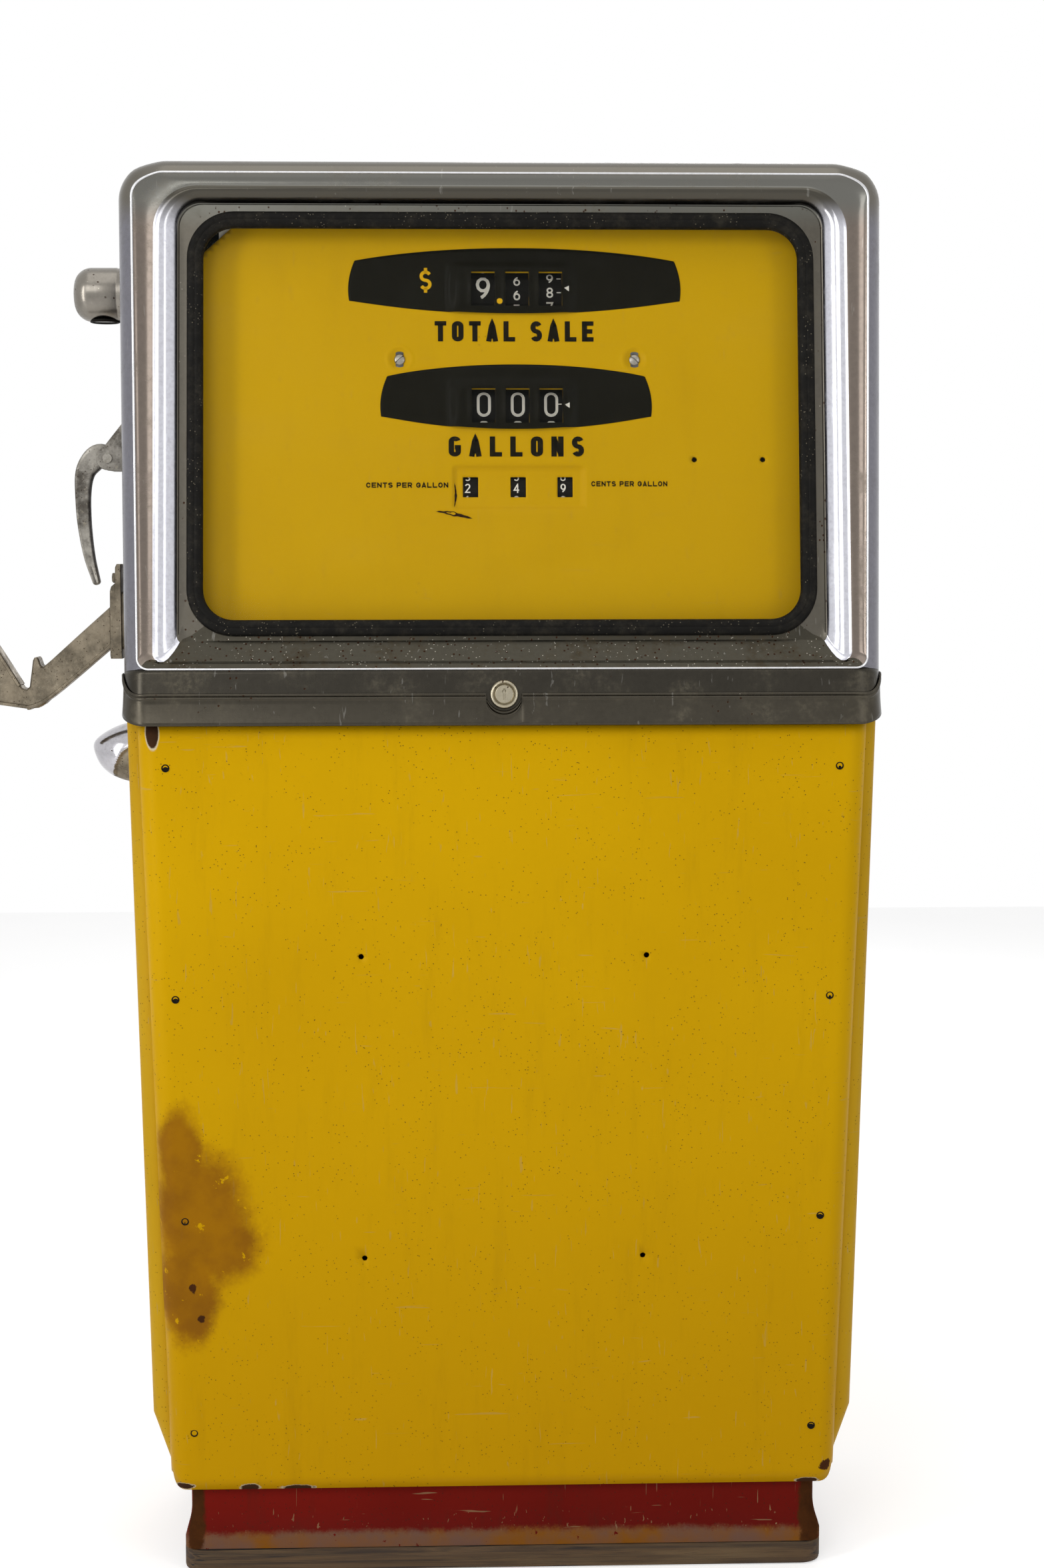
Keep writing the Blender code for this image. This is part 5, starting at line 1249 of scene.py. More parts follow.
@dataclass
class Base:
    """The timber board and the flared red pan on it."""
    half_length: float = 0.347
    half_depth: float = 0.153
    thickness: float = 0.0257

    def stack(self, rows: Sequence[tuple[float, float, float, float]]) -> Array:
        """Closed rounded rectangles, given as (half x, half y, corner, z)."""
        rings = []
        for half_x, half_y, corner, z in rows:
            ring = rounded(half_x, -half_y, half_y, corner, corner, 8, 40)
            rings.append(np.column_stack([ring, np.full(len(ring), z)]))
        return np.array(rings)

    def build(self) -> None:
        """Board with eased edges, and pan: flange, foot, flare, upright wall, top."""
        x, y, t = self.half_length, self.half_depth, self.thickness
        rows = [(x - .003, y - .003, .020, 0.0), (x - .0006, y - .0006, .021, .0015), (x, y, .022, .004),
                (x, y, .022, t - .004), (x - .0008, y - .0008, .021, t - .0012),
                (x - .003, y - .003, .019, t)]
        points = self.stack(rows)
        wave = 0.0005 * np.sin(points[..., 0] * 61) * np.sin(points[..., 0] * 23 + 1)
        points[2:, :, 2] += np.minimum(wave[2:], 0.0)
        board = Surfaces().grid(points, wrap_columns=True).cap(points[0]).cap(points[-1])
        fit(board.build("timber_board", [finish_of("wood")]), "cabinet", ["base_board"])
        foot, bottom = t + 0.0133, t + 0.0003
        rows = [(x - .001, y - .001, .014, bottom), (x - .001, y - .001, .014, foot - .002),
                (x - .0016, y - .0022, .014, foot)]
        for share in np.linspace(0, 1, 9)[1:]:
            ease = 1 - (1 - share) ** 2.2
            rows.append((x - .001 - ease * .006, y - .001 - ease * .012, .014, foot + .030 * share))
        rows += [(x - .007, y - .013, .014, .094), (x - .0076, y - .0136, .0135, .0964),
                 (x - .010, y - .016, .012, .097)]
        points = self.stack(rows)
        pan = Surfaces().grid(points, wrap_columns=True).cap(points[-1]).cap(points[0])
        fit(pan.build("red_base", [finish_of("red")], angle=35), "cabinet", ["base_pan"])


# Dial and counters -----------------------------------------------------------------------

SALE_V, GALLON_V, PRICE_V = 0.4567, 0.3345, 0.2509
COUNTER_U = (-0.0187, 0.0166, 0.0513)
PRICE_U = (-0.0325, 0.0169, 0.0655)
COUNTER_WINDOW = (0.01215, 0.018)
PRICE_WINDOW = (0.0079, 0.0105)
SCREWS = ((-0.1055, 0.384), (0.1385, 0.384))


def opening(u: float, v: float, half: tuple[float, float]) -> tuple[float, float, float, float]:
    """A window's left, right, lower and upper edge."""
    return u - half[0], u + half[0], v - half[1], v + half[1]


def on_dial(strokes: Sequence[Array], w: float, name: str, ink: str, body: str = "cabinet",
            bulge: Optional[Callable[[Array, Array], Array]] = None) -> bpy.types.Object:
    """Flat lettering on the dial, each stroke a ribbon at depth w, over a bulge if there is one."""
    sheet, out = Surfaces(), place(0, 0, 1) - place(0, 0, 0)
    for stroke in strokes:
        u, v = stroke[..., 0], stroke[..., 1]
        sheet.grid(place(u, v, w + (bulge(u, v) if bulge else 0.0)), out=out)
    return fit(sheet.build(name, [finish_of(ink)], closed=False), body)


def disc(centre: tuple[float, float], radius: float, steps: int = 28) -> Array:
    """A disc as a ribbon: left and right edge at each height, (c -+ r sin t, c + r cos t)."""
    t = np.linspace(0.02, math.pi - 0.02, steps)
    x, y = radius * np.sin(t), radius * np.cos(t)
    return np.stack([np.stack([centre[0] - x, centre[1] + y], -1),
                     np.stack([centre[0] + x, centre[1] + y], -1)], 1)


def arrow(tip: tuple[float, float], long: float, tall: float) -> Array:
    """A triangle that points left, as a ribbon from its tip to its base."""
    share = np.linspace(0.02, 1, 6)
    x, y = tip[0] + long * share, tall / 2 * share
    return np.stack([np.stack([x, tip[1] - y], -1), np.stack([x, tip[1] + y], -1)], 1)


@dataclass
class Sweep:
    """A glossy black field behind the windows, bulged in a hump round the counters."""
    name: str
    left: float
    right: float
    low: tuple[float, float]
    high: tuple[float, float]
    row: float
    bitten: bool = False
    hump: float = 0.0075
    hump_u: tuple[float, float] = (-0.058, 0.082)

    def edges(self, u: Array) -> tuple[Array, Array]:
        """Lower and upper edge: each bows from its end's height to its middle's by 1 - t^2."""
        t = np.clip((u - (self.left + self.right) / 2) / ((self.right - self.left) / 2), -1, 1)
        bow = 1 - np.abs(t) ** 2.1
        low = self.low[1] + (self.low[0] - self.low[1]) * bow
        high = self.high[1] + (self.high[0] - self.high[1]) * bow
        for x, y in SCREWS if self.bitten else ():
            bite = y - np.sqrt(np.maximum(0.0128 ** 2 - (u - x) ** 2, 0.0))
            high = np.where(np.abs(u - x) < 0.0128, np.minimum(high, bite), high)
        return low, high

    def rise(self, u: Array, v: Array) -> Array:
        """Height of the hump: eased in u, a half-round in v, with a dimple beside each window."""
        along = smooth(self.hump_u[0], self.hump_u[0] + 0.016,
                       u) * (1 - smooth(self.hump_u[1] - 0.020, self.hump_u[1], u))
        t = np.clip((v - self.row) / 0.0285, -1, 1)
        round_ = np.sqrt(np.maximum(1 - t * t, 0.0)) ** 1.2
        dents = sum(np.exp(-(((u - x) / 0.0036) ** 2 + ((v - self.row) / 0.014) ** 2))
                    for x in (-0.0365, -0.0011, 0.0340, 0.0690))
        return self.hump * along * round_ * (1 - 0.42 * dents)

    def build(self) -> None:
        """Columns follow the windows' sides; rows run edge, window's foot, window's top, edge."""
        edge = [x for u in COUNTER_U for x in (u - COUNTER_WINDOW[0], u + COUNTER_WINDOW[0])]
        u = Punched(np.linspace(self.left, self.right, 150),
                    np.zeros(2)).lines(np.linspace(self.left, self.right, 150), edge)
        low, high = self.edges(u)
        foot, head = self.row - COUNTER_WINDOW[1], self.row + COUNTER_WINDOW[1]
        foot, head = np.maximum(foot, low + 0.0004), np.minimum(head, high - 0.0004)
        share = np.linspace(0, 1, 7)[None]
        parts = [low[:, None] + (foot - low)[:, None] * share,
                 foot[:, None] + (head - foot)[:, None] * np.linspace(0, 1, 25)[None],
                 head[:, None] + (high - head)[:, None] * share]
        v = np.concatenate([parts[0], parts[1][:, 1:], parts[2][:, 1:]], 1)
        u = np.broadcast_to(u[:, None], v.shape)
        ends = 0.0035 * (1 - ((v - self.row) / 0.022) ** 2)
        middle = (self.left + self.right) / 2
        bowed = u + np.sign(u - middle) * ends * np.clip(np.abs(u - middle) / (self.right - middle), 0,
                                                         1) ** 12
        keep = np.ones((v.shape[0] - 1, v.shape[1] - 1), bool)
        mid = (u[1:, 0] + u[:-1, 0]) / 2
        inside = np.any([np.abs(mid - x) < COUNTER_WINDOW[0] for x in COUNTER_U], axis=0)
        keep[np.ix_(inside, range(6, 30))] = False
        points = place(bowed, v, DIAL_W + 0.0004 + self.rise(u, v))
        out = place(0, 0, 1) - place(0, 0, 0)
        sheet = Surfaces().grid(points, keep=keep, out=out)
        fit(sheet.build(self.name, [finish_of("sweep")], closed=False, angle=60, wall=0.0007), "cabinet")


UPPER_SWEEP = Sweep("sale_field", -0.1550, 0.1835, (0.4314, 0.4450), (0.5006, 0.4870), SALE_V)
LOWER_SWEEP = Sweep("gallon_field", -0.1220, 0.1526, (0.3104, 0.3240), (0.3785, 0.3660), GALLON_V, True)


@dataclass
class Dial:
    """The yellow face plate: windows, dimples round the screws, and the sunk price tray."""
    half: float = 0.333
    low: float = 0.080
    high: float = 0.545
    tray: tuple[float, float, float, float] = (-0.0507, 0.0859, 0.2279, 0.2725)

    def height(self, u: Array, v: Array) -> Array:
        """Dimple: 3 mm deep cup of 12 mm radius. Tray: 3.5 mm deep with 6 mm slopes. Then soft dents."""
        total = np.zeros_like(u)
        for x, y in SCREWS:
            away = np.hypot(u - x, v - y)
            total = total - 0.0030 * (1 - smooth(0.0055, 0.0120,
                                                 away)) + 0.0008 * np.exp(-((away - 0.0128) / 0.0016) ** 2)
        a, b, c, d = self.tray
        gap_u = np.maximum(a - u, u - b)
        gap_v = np.maximum(c - v, v - d)
        away = np.hypot(np.maximum(gap_u + 0.005, 0),
                        np.maximum(gap_v + 0.005, 0)) + np.minimum(np.maximum(gap_u, gap_v) + 0.005, 0)
        total = total - 0.0036 * (1 - smooth(0.001, 0.0068, away))

        def dent(depth: float, across: float, half_across: float, up: float, half_up: float) -> Array:
            """A soft bump: depth exp(-((u - across) / half_across)^2 - ((v - up) / half_up)^2)."""
            return depth * np.exp(-((u - across) / half_across) ** 2 - ((v - up) / half_up) ** 2)

        total += dent(0.0014, -0.040, 0.05, 0.205, 0.012) * np.sin(40 * u + 90 * v)
        total += dent(0.0010, 0.060, 0.07, 0.180, 0.02) * np.sin(30 * u - 60 * v)
        total += dent(0.0007, -0.130, 0.05, 0.170, 0.012)
        tear = (u + 0.0500) / 0.020
        total += 0.0012 * np.exp(-tear ** 2 - ((v - 0.2235) / 0.003) ** 2)
        return total

    def build(self) -> None:
        """The plate, its screws, black fields and lettering."""
        windows = [opening(u, v, COUNTER_WINDOW) for v in (SALE_V, GALLON_V) for u in COUNTER_U]
        windows += [opening(u, PRICE_V, PRICE_WINDOW) for u in PRICE_U]
        holes = ((0.1998, 0.279, 0.0028), (0.271, 0.279, 0.0028))
        fine_u = np.unique(np.round(np.concatenate([np.linspace(-self.half, self.half, 110),
                                                    np.linspace(-0.125, 0.16, 115)]), 4))
        fine_v = np.unique(np.round(np.concatenate([np.linspace(self.low, self.high, 76),
                                                    np.linspace(0.215, 0.405, 86)]), 4))
        u, v, keep = Punched(fine_u, fine_v, tuple(windows), holes).grid()
        v = np.where(u < -0.270, np.minimum(v, 0.4990 + (u + 0.3035) * 0.9), v)
        out = place(0, 0, 1) - place(0, 0, 0)
        edge = np.maximum(abs(u) - self.half + 0.004, 0) + np.maximum(self.low + 0.004 - v, 0)
        plate = Surfaces().grid(place(u, v, DIAL_W + self.height(u, v) - edge * 0.3), keep=keep, out=out)
        fit(plate.build("dial_plate", [finish_of("dial")], closed=False, angle=60, wall=0.0010), "cabinet",
            ["dial_face"])
        UPPER_SWEEP.build()
        LOWER_SWEEP.build()
        self._screws()
        self._tear()
        self._lettering()

    def _screws(self) -> None:
        """Slotted pan heads in their dimples."""
        for (u, v), side in zip(SCREWS, Side):
            radius, angle = np.meshgrid(np.linspace(0.02, 1, 18), np.linspace(0, 2 * math.pi, 60, False),
                                        indexing="ij")
            x, y = 0.0056 * radius * np.cos(angle), 0.0056 * radius * np.sin(angle)
            turn = 0.7 * side.value
            slot = (1 - smooth(.0004, .0006, abs(x * math.sin(turn) + y * math.cos(turn))))
            w = DIAL_W - 0.0030 + 0.0030 * np.sqrt(1 - 0.85 * radius ** 2) - 0.0011 * slot
            top = place(u + x, v + y, w)
            head = Surfaces().grid(top, wrap_columns=True).cap(top[0])
            rim = place(u + x[-1:], v + y[-1:], w[-1:])
            base = place(u + x[-1:], v + y[-1:], np.full_like(w[-1:], DIAL_W - 0.0040))
            head.grid(np.concatenate([rim, base]), wrap_columns=True).cap(base[0])
            node = "dial_screw_" + side.name.lower()
            fit(head.build(node + "_head", [finish_of("screw")], angle=50), "cabinet", [node])

    def _tear(self) -> None:
        """A ragged brown split below the tray and a thin one beside it: two curved slivers."""
        t = np.linspace(0, 1, 26)
        wide = np.sin(np.pi * t) ** 0.8 * (1 + 0.35 * np.sin(23 * t) * np.sin(9 * t))
        line = np.stack([-0.0685 + 0.038 * t, 0.2250 - 0.0075 * t ** 1.3], -1)
        slit = np.stack([-0.0495 + 0.0016 * np.sin(3 * t), 0.2295 + 0.0255 * t], -1)
        shapes = [np.stack([line + [0, 0.0022], line - [0, 0.0022]], 1),
                  np.stack([slit + [0.0012, 0], slit - [0.0012, 0]], 1)]
        for shape, centre in zip(shapes, (line, slit)):
            shape[:, 0] = centre + (shape[:, 0] - centre) * wide[:, None]
            shape[:, 1] = centre + (shape[:, 1] - centre) * wide[:, None] * 0.8
        on_dial(shapes, DIAL_W + 0.0003, "dial_tear", "tear", bulge=self.height)

    def _lettering(self) -> None:
        """Words, the money sign, the decimal dot and the pointers."""
        block, plain = Lettering(0.50, 0.22), Lettering(0.95, 0.23)
        strokes = block.text("TOTAL SALE", (-0.0690, 0.4025), (0.0960, 0.4238), 0.24, 0.42)
        strokes += block.text("GALLONS", (-0.0550, 0.2822), (0.0853, 0.3032), 0.34)
        strokes += plain.text("CENTS PER GALLON", (-0.1404, 0.2497), (-0.0556, 0.2552), 0.22, 0.62)
        strokes += plain.text("CENTS PER GALLON", (0.0925, 0.2510), (0.1715, 0.2564), 0.22, 0.62)
        on_dial(strokes, DIAL_W + 0.0003, "dial_words", "ink", bulge=self.height)
        money = Lettering(0.48, 0.13).text("$", (-0.0845, 0.4535), (-0.0720, 0.4795))
        dot = disc((-0.0015, 0.4435), 0.0030)
        on_dial(money + [dot], DIAL_W + 0.0007, "money_signs", "cream", bulge=UPPER_SWEEP.rise)
        for sweep, name in ((UPPER_SWEEP, "sale_pointer"), (LOWER_SWEEP, "gallon_pointer")):
            shape = arrow((0.0655, sweep.row + 0.0008), 0.0050, 0.0058)
            on_dial([shape], DIAL_W + 0.0007, name, "white", bulge=sweep.rise)


@dataclass
class CounterWheel:
    """The figures on one counter wheel, bent round its rim.

    A sign's point (x, y) lies at angle y / r in front of the wheel's axis, at u + x.
    """
    node: str
    u: float
    v: float
    radius: float
    signs: Sequence[str]
    tall: float
    wide: float
    shift: float = 0.0
    offset: float = 0.0
    ticks: bool = False
    stroke: float = 0.13

    def build(self) -> None:
        """Ribbons a little outside the rim, riding on the wheel."""
        axis_w = DIAL_W - 0.0015 - 0.003 - self.radius
        face = Lettering(self.wide / self.tall, self.stroke)
        pitch = 2 * math.pi * self.radius / len(self.signs)
        shell = Surfaces()
        for index, sign in enumerate(self.signs):
            base = self.offset + index * pitch
            low, high = (-self.wide / 2 + self.shift, base - self.tall / 2), (self.wide / 2 + self.shift,
                                                                              base + self.tall / 2)
            strokes = face.text(sign, low, high)
            if self.ticks:
                x = np.linspace(0.0068, 0.0112, 5)
                strokes.append(np.stack([np.stack([x, np.full(5, base + 0.0005)], -1),
                                         np.stack([x, np.full(5, base - 0.0005)], -1)], 1))
            for stroke in strokes:
                angle = stroke[..., 1] / self.radius
                reach = self.radius + 0.00025
                points = place(self.u + stroke[..., 0], self.v + reach * np.sin(angle),
                               axis_w + reach * np.cos(angle))
                middle = float(angle.mean())
                away = place(0, math.sin(middle), math.cos(middle)) - place(0, 0, 0)
                shell.grid(points, out=away)
        shape = shell.build(self.node + "_figures", [finish_of("white")], closed=False)
        fit(shape, self.node)


def counter_wheels() -> list[CounterWheel]:
    """All nine wheels' figures, as they stand at rest."""
    large = [str(n) for n in range(10)]

    def turned(first: int) -> list[str]:
        """The ten digits, beginning with the one in the window."""
        return [str((first + n) % 10) for n in range(10)]

    doubled = [str((6 + n // 2) % 10) for n in range(20)]
    fine = [str((8 + n) % 10) for n in range(20)]
    r, p = 0.048, 0.020
    wheels = [CounterWheel("sale_wheel_1", COUNTER_U[0], SALE_V, r, turned(9), 0.0250, 0.0148, 0.0, 0.0026),
              CounterWheel("sale_wheel_2", COUNTER_U[1], SALE_V, r, doubled, 0.0108, 0.0072, 0.0, -0.0042,
                           stroke=0.15),
              CounterWheel("sale_wheel_3", COUNTER_U[2], SALE_V, r, fine, 0.0108, 0.0072, -0.0004, -0.0016,
                           True, 0.15)]
    for index, node in enumerate(("gallon_wheel_1", "gallon_wheel_2", "gallon_wheel_3")):
        wheels.append(CounterWheel(node, COUNTER_U[index], GALLON_V, r, large, 0.0262, 0.0146, 0.0004, 0.0034,
                                   index == 2, 0.11))
    for node, u, first, shift in zip(("price_wheel_1", "price_wheel_2", "price_wheel_3"), PRICE_U, (2, 4, 9),
                                     (-0.0030, -0.0018, -0.0020)):
        wheels.append(CounterWheel(node, u, PRICE_V, p, turned(first), 0.0095, 0.0056, shift, -0.0010,
                                   stroke=0.14))
    return wheels


# Left-hand fittings ----------------------------------------------------------------------

FITTING_Y = -0.060
PIN = (-0.4183, 1.199)


def bar(line: Sequence[tuple[float, float, float]], half_depth: float, steps: int = 6, edge: float = 0.35,
        steps_round: int = 24, groove: float = 0.0) -> Array:
    """A bar along a line in X-Z: at (x, z) a rounded section, width across and depth in Y.

    The line is smoothed by a cubic through its points; the section is a superellipse
    |a|^n + |b|^n = 1 set square to the line.

    Args:
        line: points (x, z, width). half_depth: half the bar's size in Y.
        steps: rows between two points. edge: 1 for an ellipse, less for a squarer section.
        groove: how deep a groove runs along both faces.
    Returns:
        Points of shape (rows, steps_round, 3).
    """
    knots = np.array(line, float)
    ends = np.concatenate([2 * knots[:1] - knots[1:2], knots, 2 * knots[-1:] - knots[-2:-1]])
    rows = []
    for a, b, c, d in zip(ends, ends[1:], ends[2:], ends[3:]):
        t = np.linspace(0, 1, steps, endpoint=False)[:, None]
        rows.append(0.5 * (2 * b + (c - a) * t + (2 * a - 5 * b + 4 * c - d) * t ** 2
                           + (3 * b - a - 3 * c + d) * t ** 3))
    path = np.concatenate(rows + [knots[-1:]])
    run = np.gradient(path[:, :2], axis=0)
    run /= np.linalg.norm(run, axis=1, keepdims=True) + 1e-12
    t = np.linspace(0, 2 * math.pi, steps_round, endpoint=False)
    across = np.sign(np.cos(t)) * np.abs(np.cos(t)) ** edge
    deep = np.sign(np.sin(t)) * np.abs(np.sin(t)) ** edge
    deep = deep * (1 - groove * (1 - np.minimum(1, np.abs(across) * 1.6)))
    normal = np.stack([-run[:, 1], run[:, 0]], -1)
    flat = path[:, None, :2] + normal[:, None] * (across[None, :, None] * path[:, None, 2:] / 2)
    return np.stack([flat[..., 0], FITTING_Y + np.broadcast_to(deep * half_depth, flat.shape[:2]),
                     flat[..., 1]], -1)


def rounded_end(points: Array, share: float = 0.5, steps: int = 5) -> Array:
    """Closes a bar's last row with rings that shrink to its middle along a quarter circle."""
    middle = points[-1].mean(0)
    ahead = points[-1].mean(0) - points[-2].mean(0)
    ahead /= np.linalg.norm(ahead) + 1e-12
    reach = np.linalg.norm(points[-1] - middle, axis=1).max() * share
    angle = np.linspace(0, math.pi / 2 * 0.97, steps + 1)[1:, None, None]
    rings = middle + (points[-1] - middle) * np.cos(angle) + ahead * reach * np.sin(angle)
    return np.concatenate([points, rings])


@dataclass
class Fittings:
    """Hose outlet, lever on its bracket, nozzle hanger and spout boot."""

    def build(self) -> None:
        """All of them."""
        self._outlet()
        self._lever()
        self._hanger()
        self._boot()

    def _outlet(self) -> None:
        """A domed housing turned about X, with fine ridges round its rear half and a port below."""
        wall = -wall_at(1.378 + 0.029)
        r = 0.029
        profile = [(r, .0005), (r, .018), (r - .0006, .0195), (r - .0006, .0205), (r, .022), (r, .042)]
        dome = arc(r - 0.019, 0.049, 0.019, 0.019, 0, 88, 14)
        profile += [(a, b) for a, b in dome] + [(0.0015, 0.068)]
        points = lathe(profile, (wall, 0, 1.378), (-1, 0, 0), 72)
        body = Surfaces().grid(points, wrap_columns=True).cap(points[-1]).cap(points[0])
        ring = lathe([(.0165, -.0270), (.0160, -.0296), (.0150, -.0300), (.0134, -.0296), (.0130, -.0265)],
                     (wall - 0.036, 0, 1.378), (0, 0, 1), 40)
        body.grid(ring, wrap_columns=True, slot=1).cap(ring[0], 1)
        fit(body.build("outlet_housing", [finish_of("outlet"), finish_of("drum")], angle=35), "cabinet",
            ["hose_outlet"])

    def _lever(self) -> None:
        """A curved tapering lever between the bracket's two cheeks."""
        x, z = PIN
        shape = ((0.011, -0.004, 0.018), (0, 0, 0.025), (-0.010, 0.003, 0.0255), (-0.019, -0.004, 0.024),
                 (-0.026, -0.016, 0.020),
                 (-0.0283, -0.036, 0.0165), (-0.0275, -0.068, 0.0145), (-0.0230, -0.103, 0.0115),
                 (-0.0158, -0.131, 0.0078))
        points = rounded_end(bar([(x + a, z + b, width) for a, b, width in shape], 0.0070, groove=0.25))
        lever = Surfaces().grid(points, wrap_columns=True).cap(points[0]).cap(points[-1])
        fit(lever.build("curved_lever", [finish_of("bracket")], angle=55), "lever",
            ["operating_lever"])
        wall = -wall_at(z + 0.044) - 0.0003
        boss = arc(x, z, 0.0125, 0.0125, 110, 270, 12)
        outline = np.concatenate([[(wall, z + 0.044), (wall - 0.004, z + 0.0438), (wall - 0.008, z + 0.042)],
                                  boss,
                                  [(x + 0.004, z - 0.0133), (wall, z - 0.0135)]])
        bracket = Surfaces()
        for side in (-1, 1):
            inner, outer = FITTING_Y + side * 0.0074, FITTING_Y + side * 0.0132
            middle = outline.mean(0)
            rows = []
            for y, shrink in ((inner, 1.0), (outer - side * 0.0012, 1.0), (outer - side * .0004, 0.985),
                              (outer, 0.955)):
                flat = middle + (outline - middle) * shrink
                rows.append(np.column_stack([flat[:, 0], np.full(len(flat), y), flat[:, 1]]))
            rows = np.array(rows)
            bracket.grid(rows, wrap_columns=True).cap(rows[0]).cap(rows[-1])
        plate = np.array([[(wall - d, FITTING_Y + b, z + c) for b,
                           c in rounded(0.016, -0.0150, 0.046, 0.005, 0.005, 5, 4)]
                          for d in (0.0, 0.0022, 0.0030)])
        plate[-1] = plate[-1].mean(0) + (plate[-1] - plate[-1].mean(0)) * [1, .95, .97]
        bracket.grid(plate, wrap_columns=True).cap(plate[0]).cap(plate[-1])
        fit(bracket.build("lever_cheeks", [finish_of("bracket")], angle=35), "cabinet",
            ["lever_bracket"])

    def _hanger(self) -> None:
        """Ribbed plate with a bolt, and the angled arm that ends in a cradle."""
        wall = -wall_at(1.087) - 0.0003
        face = wall - 0.0297
        outline = np.array([(face, .986), (face - .0006, .990), (face, 1.058), (face + .0015, 1.063),
                            (face + .0060, 1.067),
                            (face + .0062, 1.084), (face + .0078, 1.087), (face + .012, 1.087),
                            (face + .012, .986)])
        rows = []
        for offset, shrink in ((-.0200, .93), (-.0190, 1), (-.0050, 1), (-.0030, .96), (.0030, .96),
                               (.0050, 1), (.0190, 1), (.0200, .93)):
            flat = outline.mean(0) + (outline - outline.mean(0)) * [shrink, 0.5 + shrink / 2]
            rows.append(np.column_stack([flat[:, 0], np.full(len(flat), FITTING_Y + offset), flat[:, 1]]))
        rows = np.array(rows)
        plate = Surfaces().grid(rows, wrap_columns=True).cap(rows[0]).cap(rows[-1])
        pad = np.array([[(face + d, FITTING_Y + a, b) for a,
                         b in rounded(0.0155, .996, 1.057, .004, .004, 4, 4)]
                        for d in (0.011, 0.0297)])
        plate.grid(pad, wrap_columns=True).cap(pad[0]).cap(pad[-1])
        for z in (1.006, 1.072):
            deep = 0.0 if z < 1.05 else 0.006
            bolt = lathe([(.0075, -.001), (.0075, .0014), (.0056, .0016), (.0056, .0048), (.0048, .0056)],
                         (face + deep, FITTING_Y, z), (-1, 0, 0), 6)
            plate.grid(bolt, wrap_columns=True).cap(bolt[0]).cap(bolt[-1])
        fit(plate.build("hanger_bracket", [finish_of("cast")], angle=35), "cabinet",
            ["hanger_plate"])
        root = face - 0.0003
        lower = [(0, .9985), (.030, .9735), (.0655, .9440), (.0730, .9370), (.0795, .9330), (.0900, .9322),
                 (.123, .9370)]
        upper = [(.1262, .9500), (.1282, .9780), (.1390, .9990), (.1480, 1.0205), (.1470, 1.0245),
                 (.1425, 1.0265),
                 (.1390, 1.0240), (.1220, .9970), (.1000, .9600), (.0965, .9545), (.0920, .9525),
                 (.0885, .9560),
                 (.0845, .9840), (.0830, .9870), (.0800, .9878), (.0782, .9860), (.0760, .9790),
                 (.0735, .9770),
                 (.0640, .9850), (.030, 1.0155), (0, 1.0420)]
        outline = np.array([(root - x, z) for x, z in lower + upper])
        shape = Surfaces().slab(outline, FITTING_Y - 0.0115, FITTING_Y + 0.0115, 0.0016)
        flange = bar([(root - x, z + 0.0016, 0.0040) for x, z in lower[:1] + lower[2:6:3] + lower[5:]],
                     0.0140, edge=0.3)
        shape.grid(flange, wrap_columns=True).cap(flange[0]).cap(flange[-1])
        lip = bar([(root - x, z, 0.0052) for x, z in ((.0995, .957), (.122, .9935), (.1415, 1.0225))], 0.0140,
                  edge=0.5)
        shape.grid(lip, wrap_columns=True).cap(lip[0]).cap(lip[-1])
        fit(shape.build("nozzle_hanger", [finish_of("cast")], angle=35), "cabinet",
            ["hanger_arm"])

    def _boot(self) -> None:
        """A polished half dome on the side wall, with a sunk grey cheek towards the front.

        Longitude runs from wall to wall and latitude from pole to pole; inside the cheek's
        ellipse, drawn on the dome's X-Z face, the shell steps in by 2.5 mm.
        """
        wall = -(0.3815 + 0.005 * (0.919 - 0.168) / (0.935 - 0.168)) - 0.0003
        rx, ry, rz = 0.0508, 0.040, 0.0335
        t, f = np.meshgrid(np.linspace(-math.pi / 2, math.pi / 2, 81), np.linspace(-1.5, 1.5, 81),
                           indexing="ij")
        x, y, z = -rx * np.cos(f) * np.cos(t), ry * np.cos(f) * np.sin(t), rz * np.sin(f)
        swell = 1 + 0.10 * np.exp(-((z - 0.012) / 0.012) ** 2)
        inside = 1 - smooth(0.93, 1.0, np.hypot(x / 0.032, (z + 0.036) / 0.047))
        step = inside * smooth(0.1, 0.4, -np.sin(t))
        y = y + 0.0032 * step
        points = np.stack([wall + x * swell * (1 - 0.04 * step), FITTING_Y + y, 0.8845 + z], -1)
        slots = (step[:-1, :-1] > 0.5)
        shell = Surfaces().grid(points, keep=~slots, slot=0,
                                out=(-1, 0, 0)).grid(points, keep=slots, slot=1, out=(-1, -1, 0))
        shell.cap(points[:, 0]).cap(points[:, -1])
        fit(shell.build("spout_scoop", [finish_of("boot"), finish_of("cast")], closed=False, angle=50,
                        wall=0.0012),
            "cabinet", ["spout_boot"])


# Inner works -----------------------------------------------------------------------------

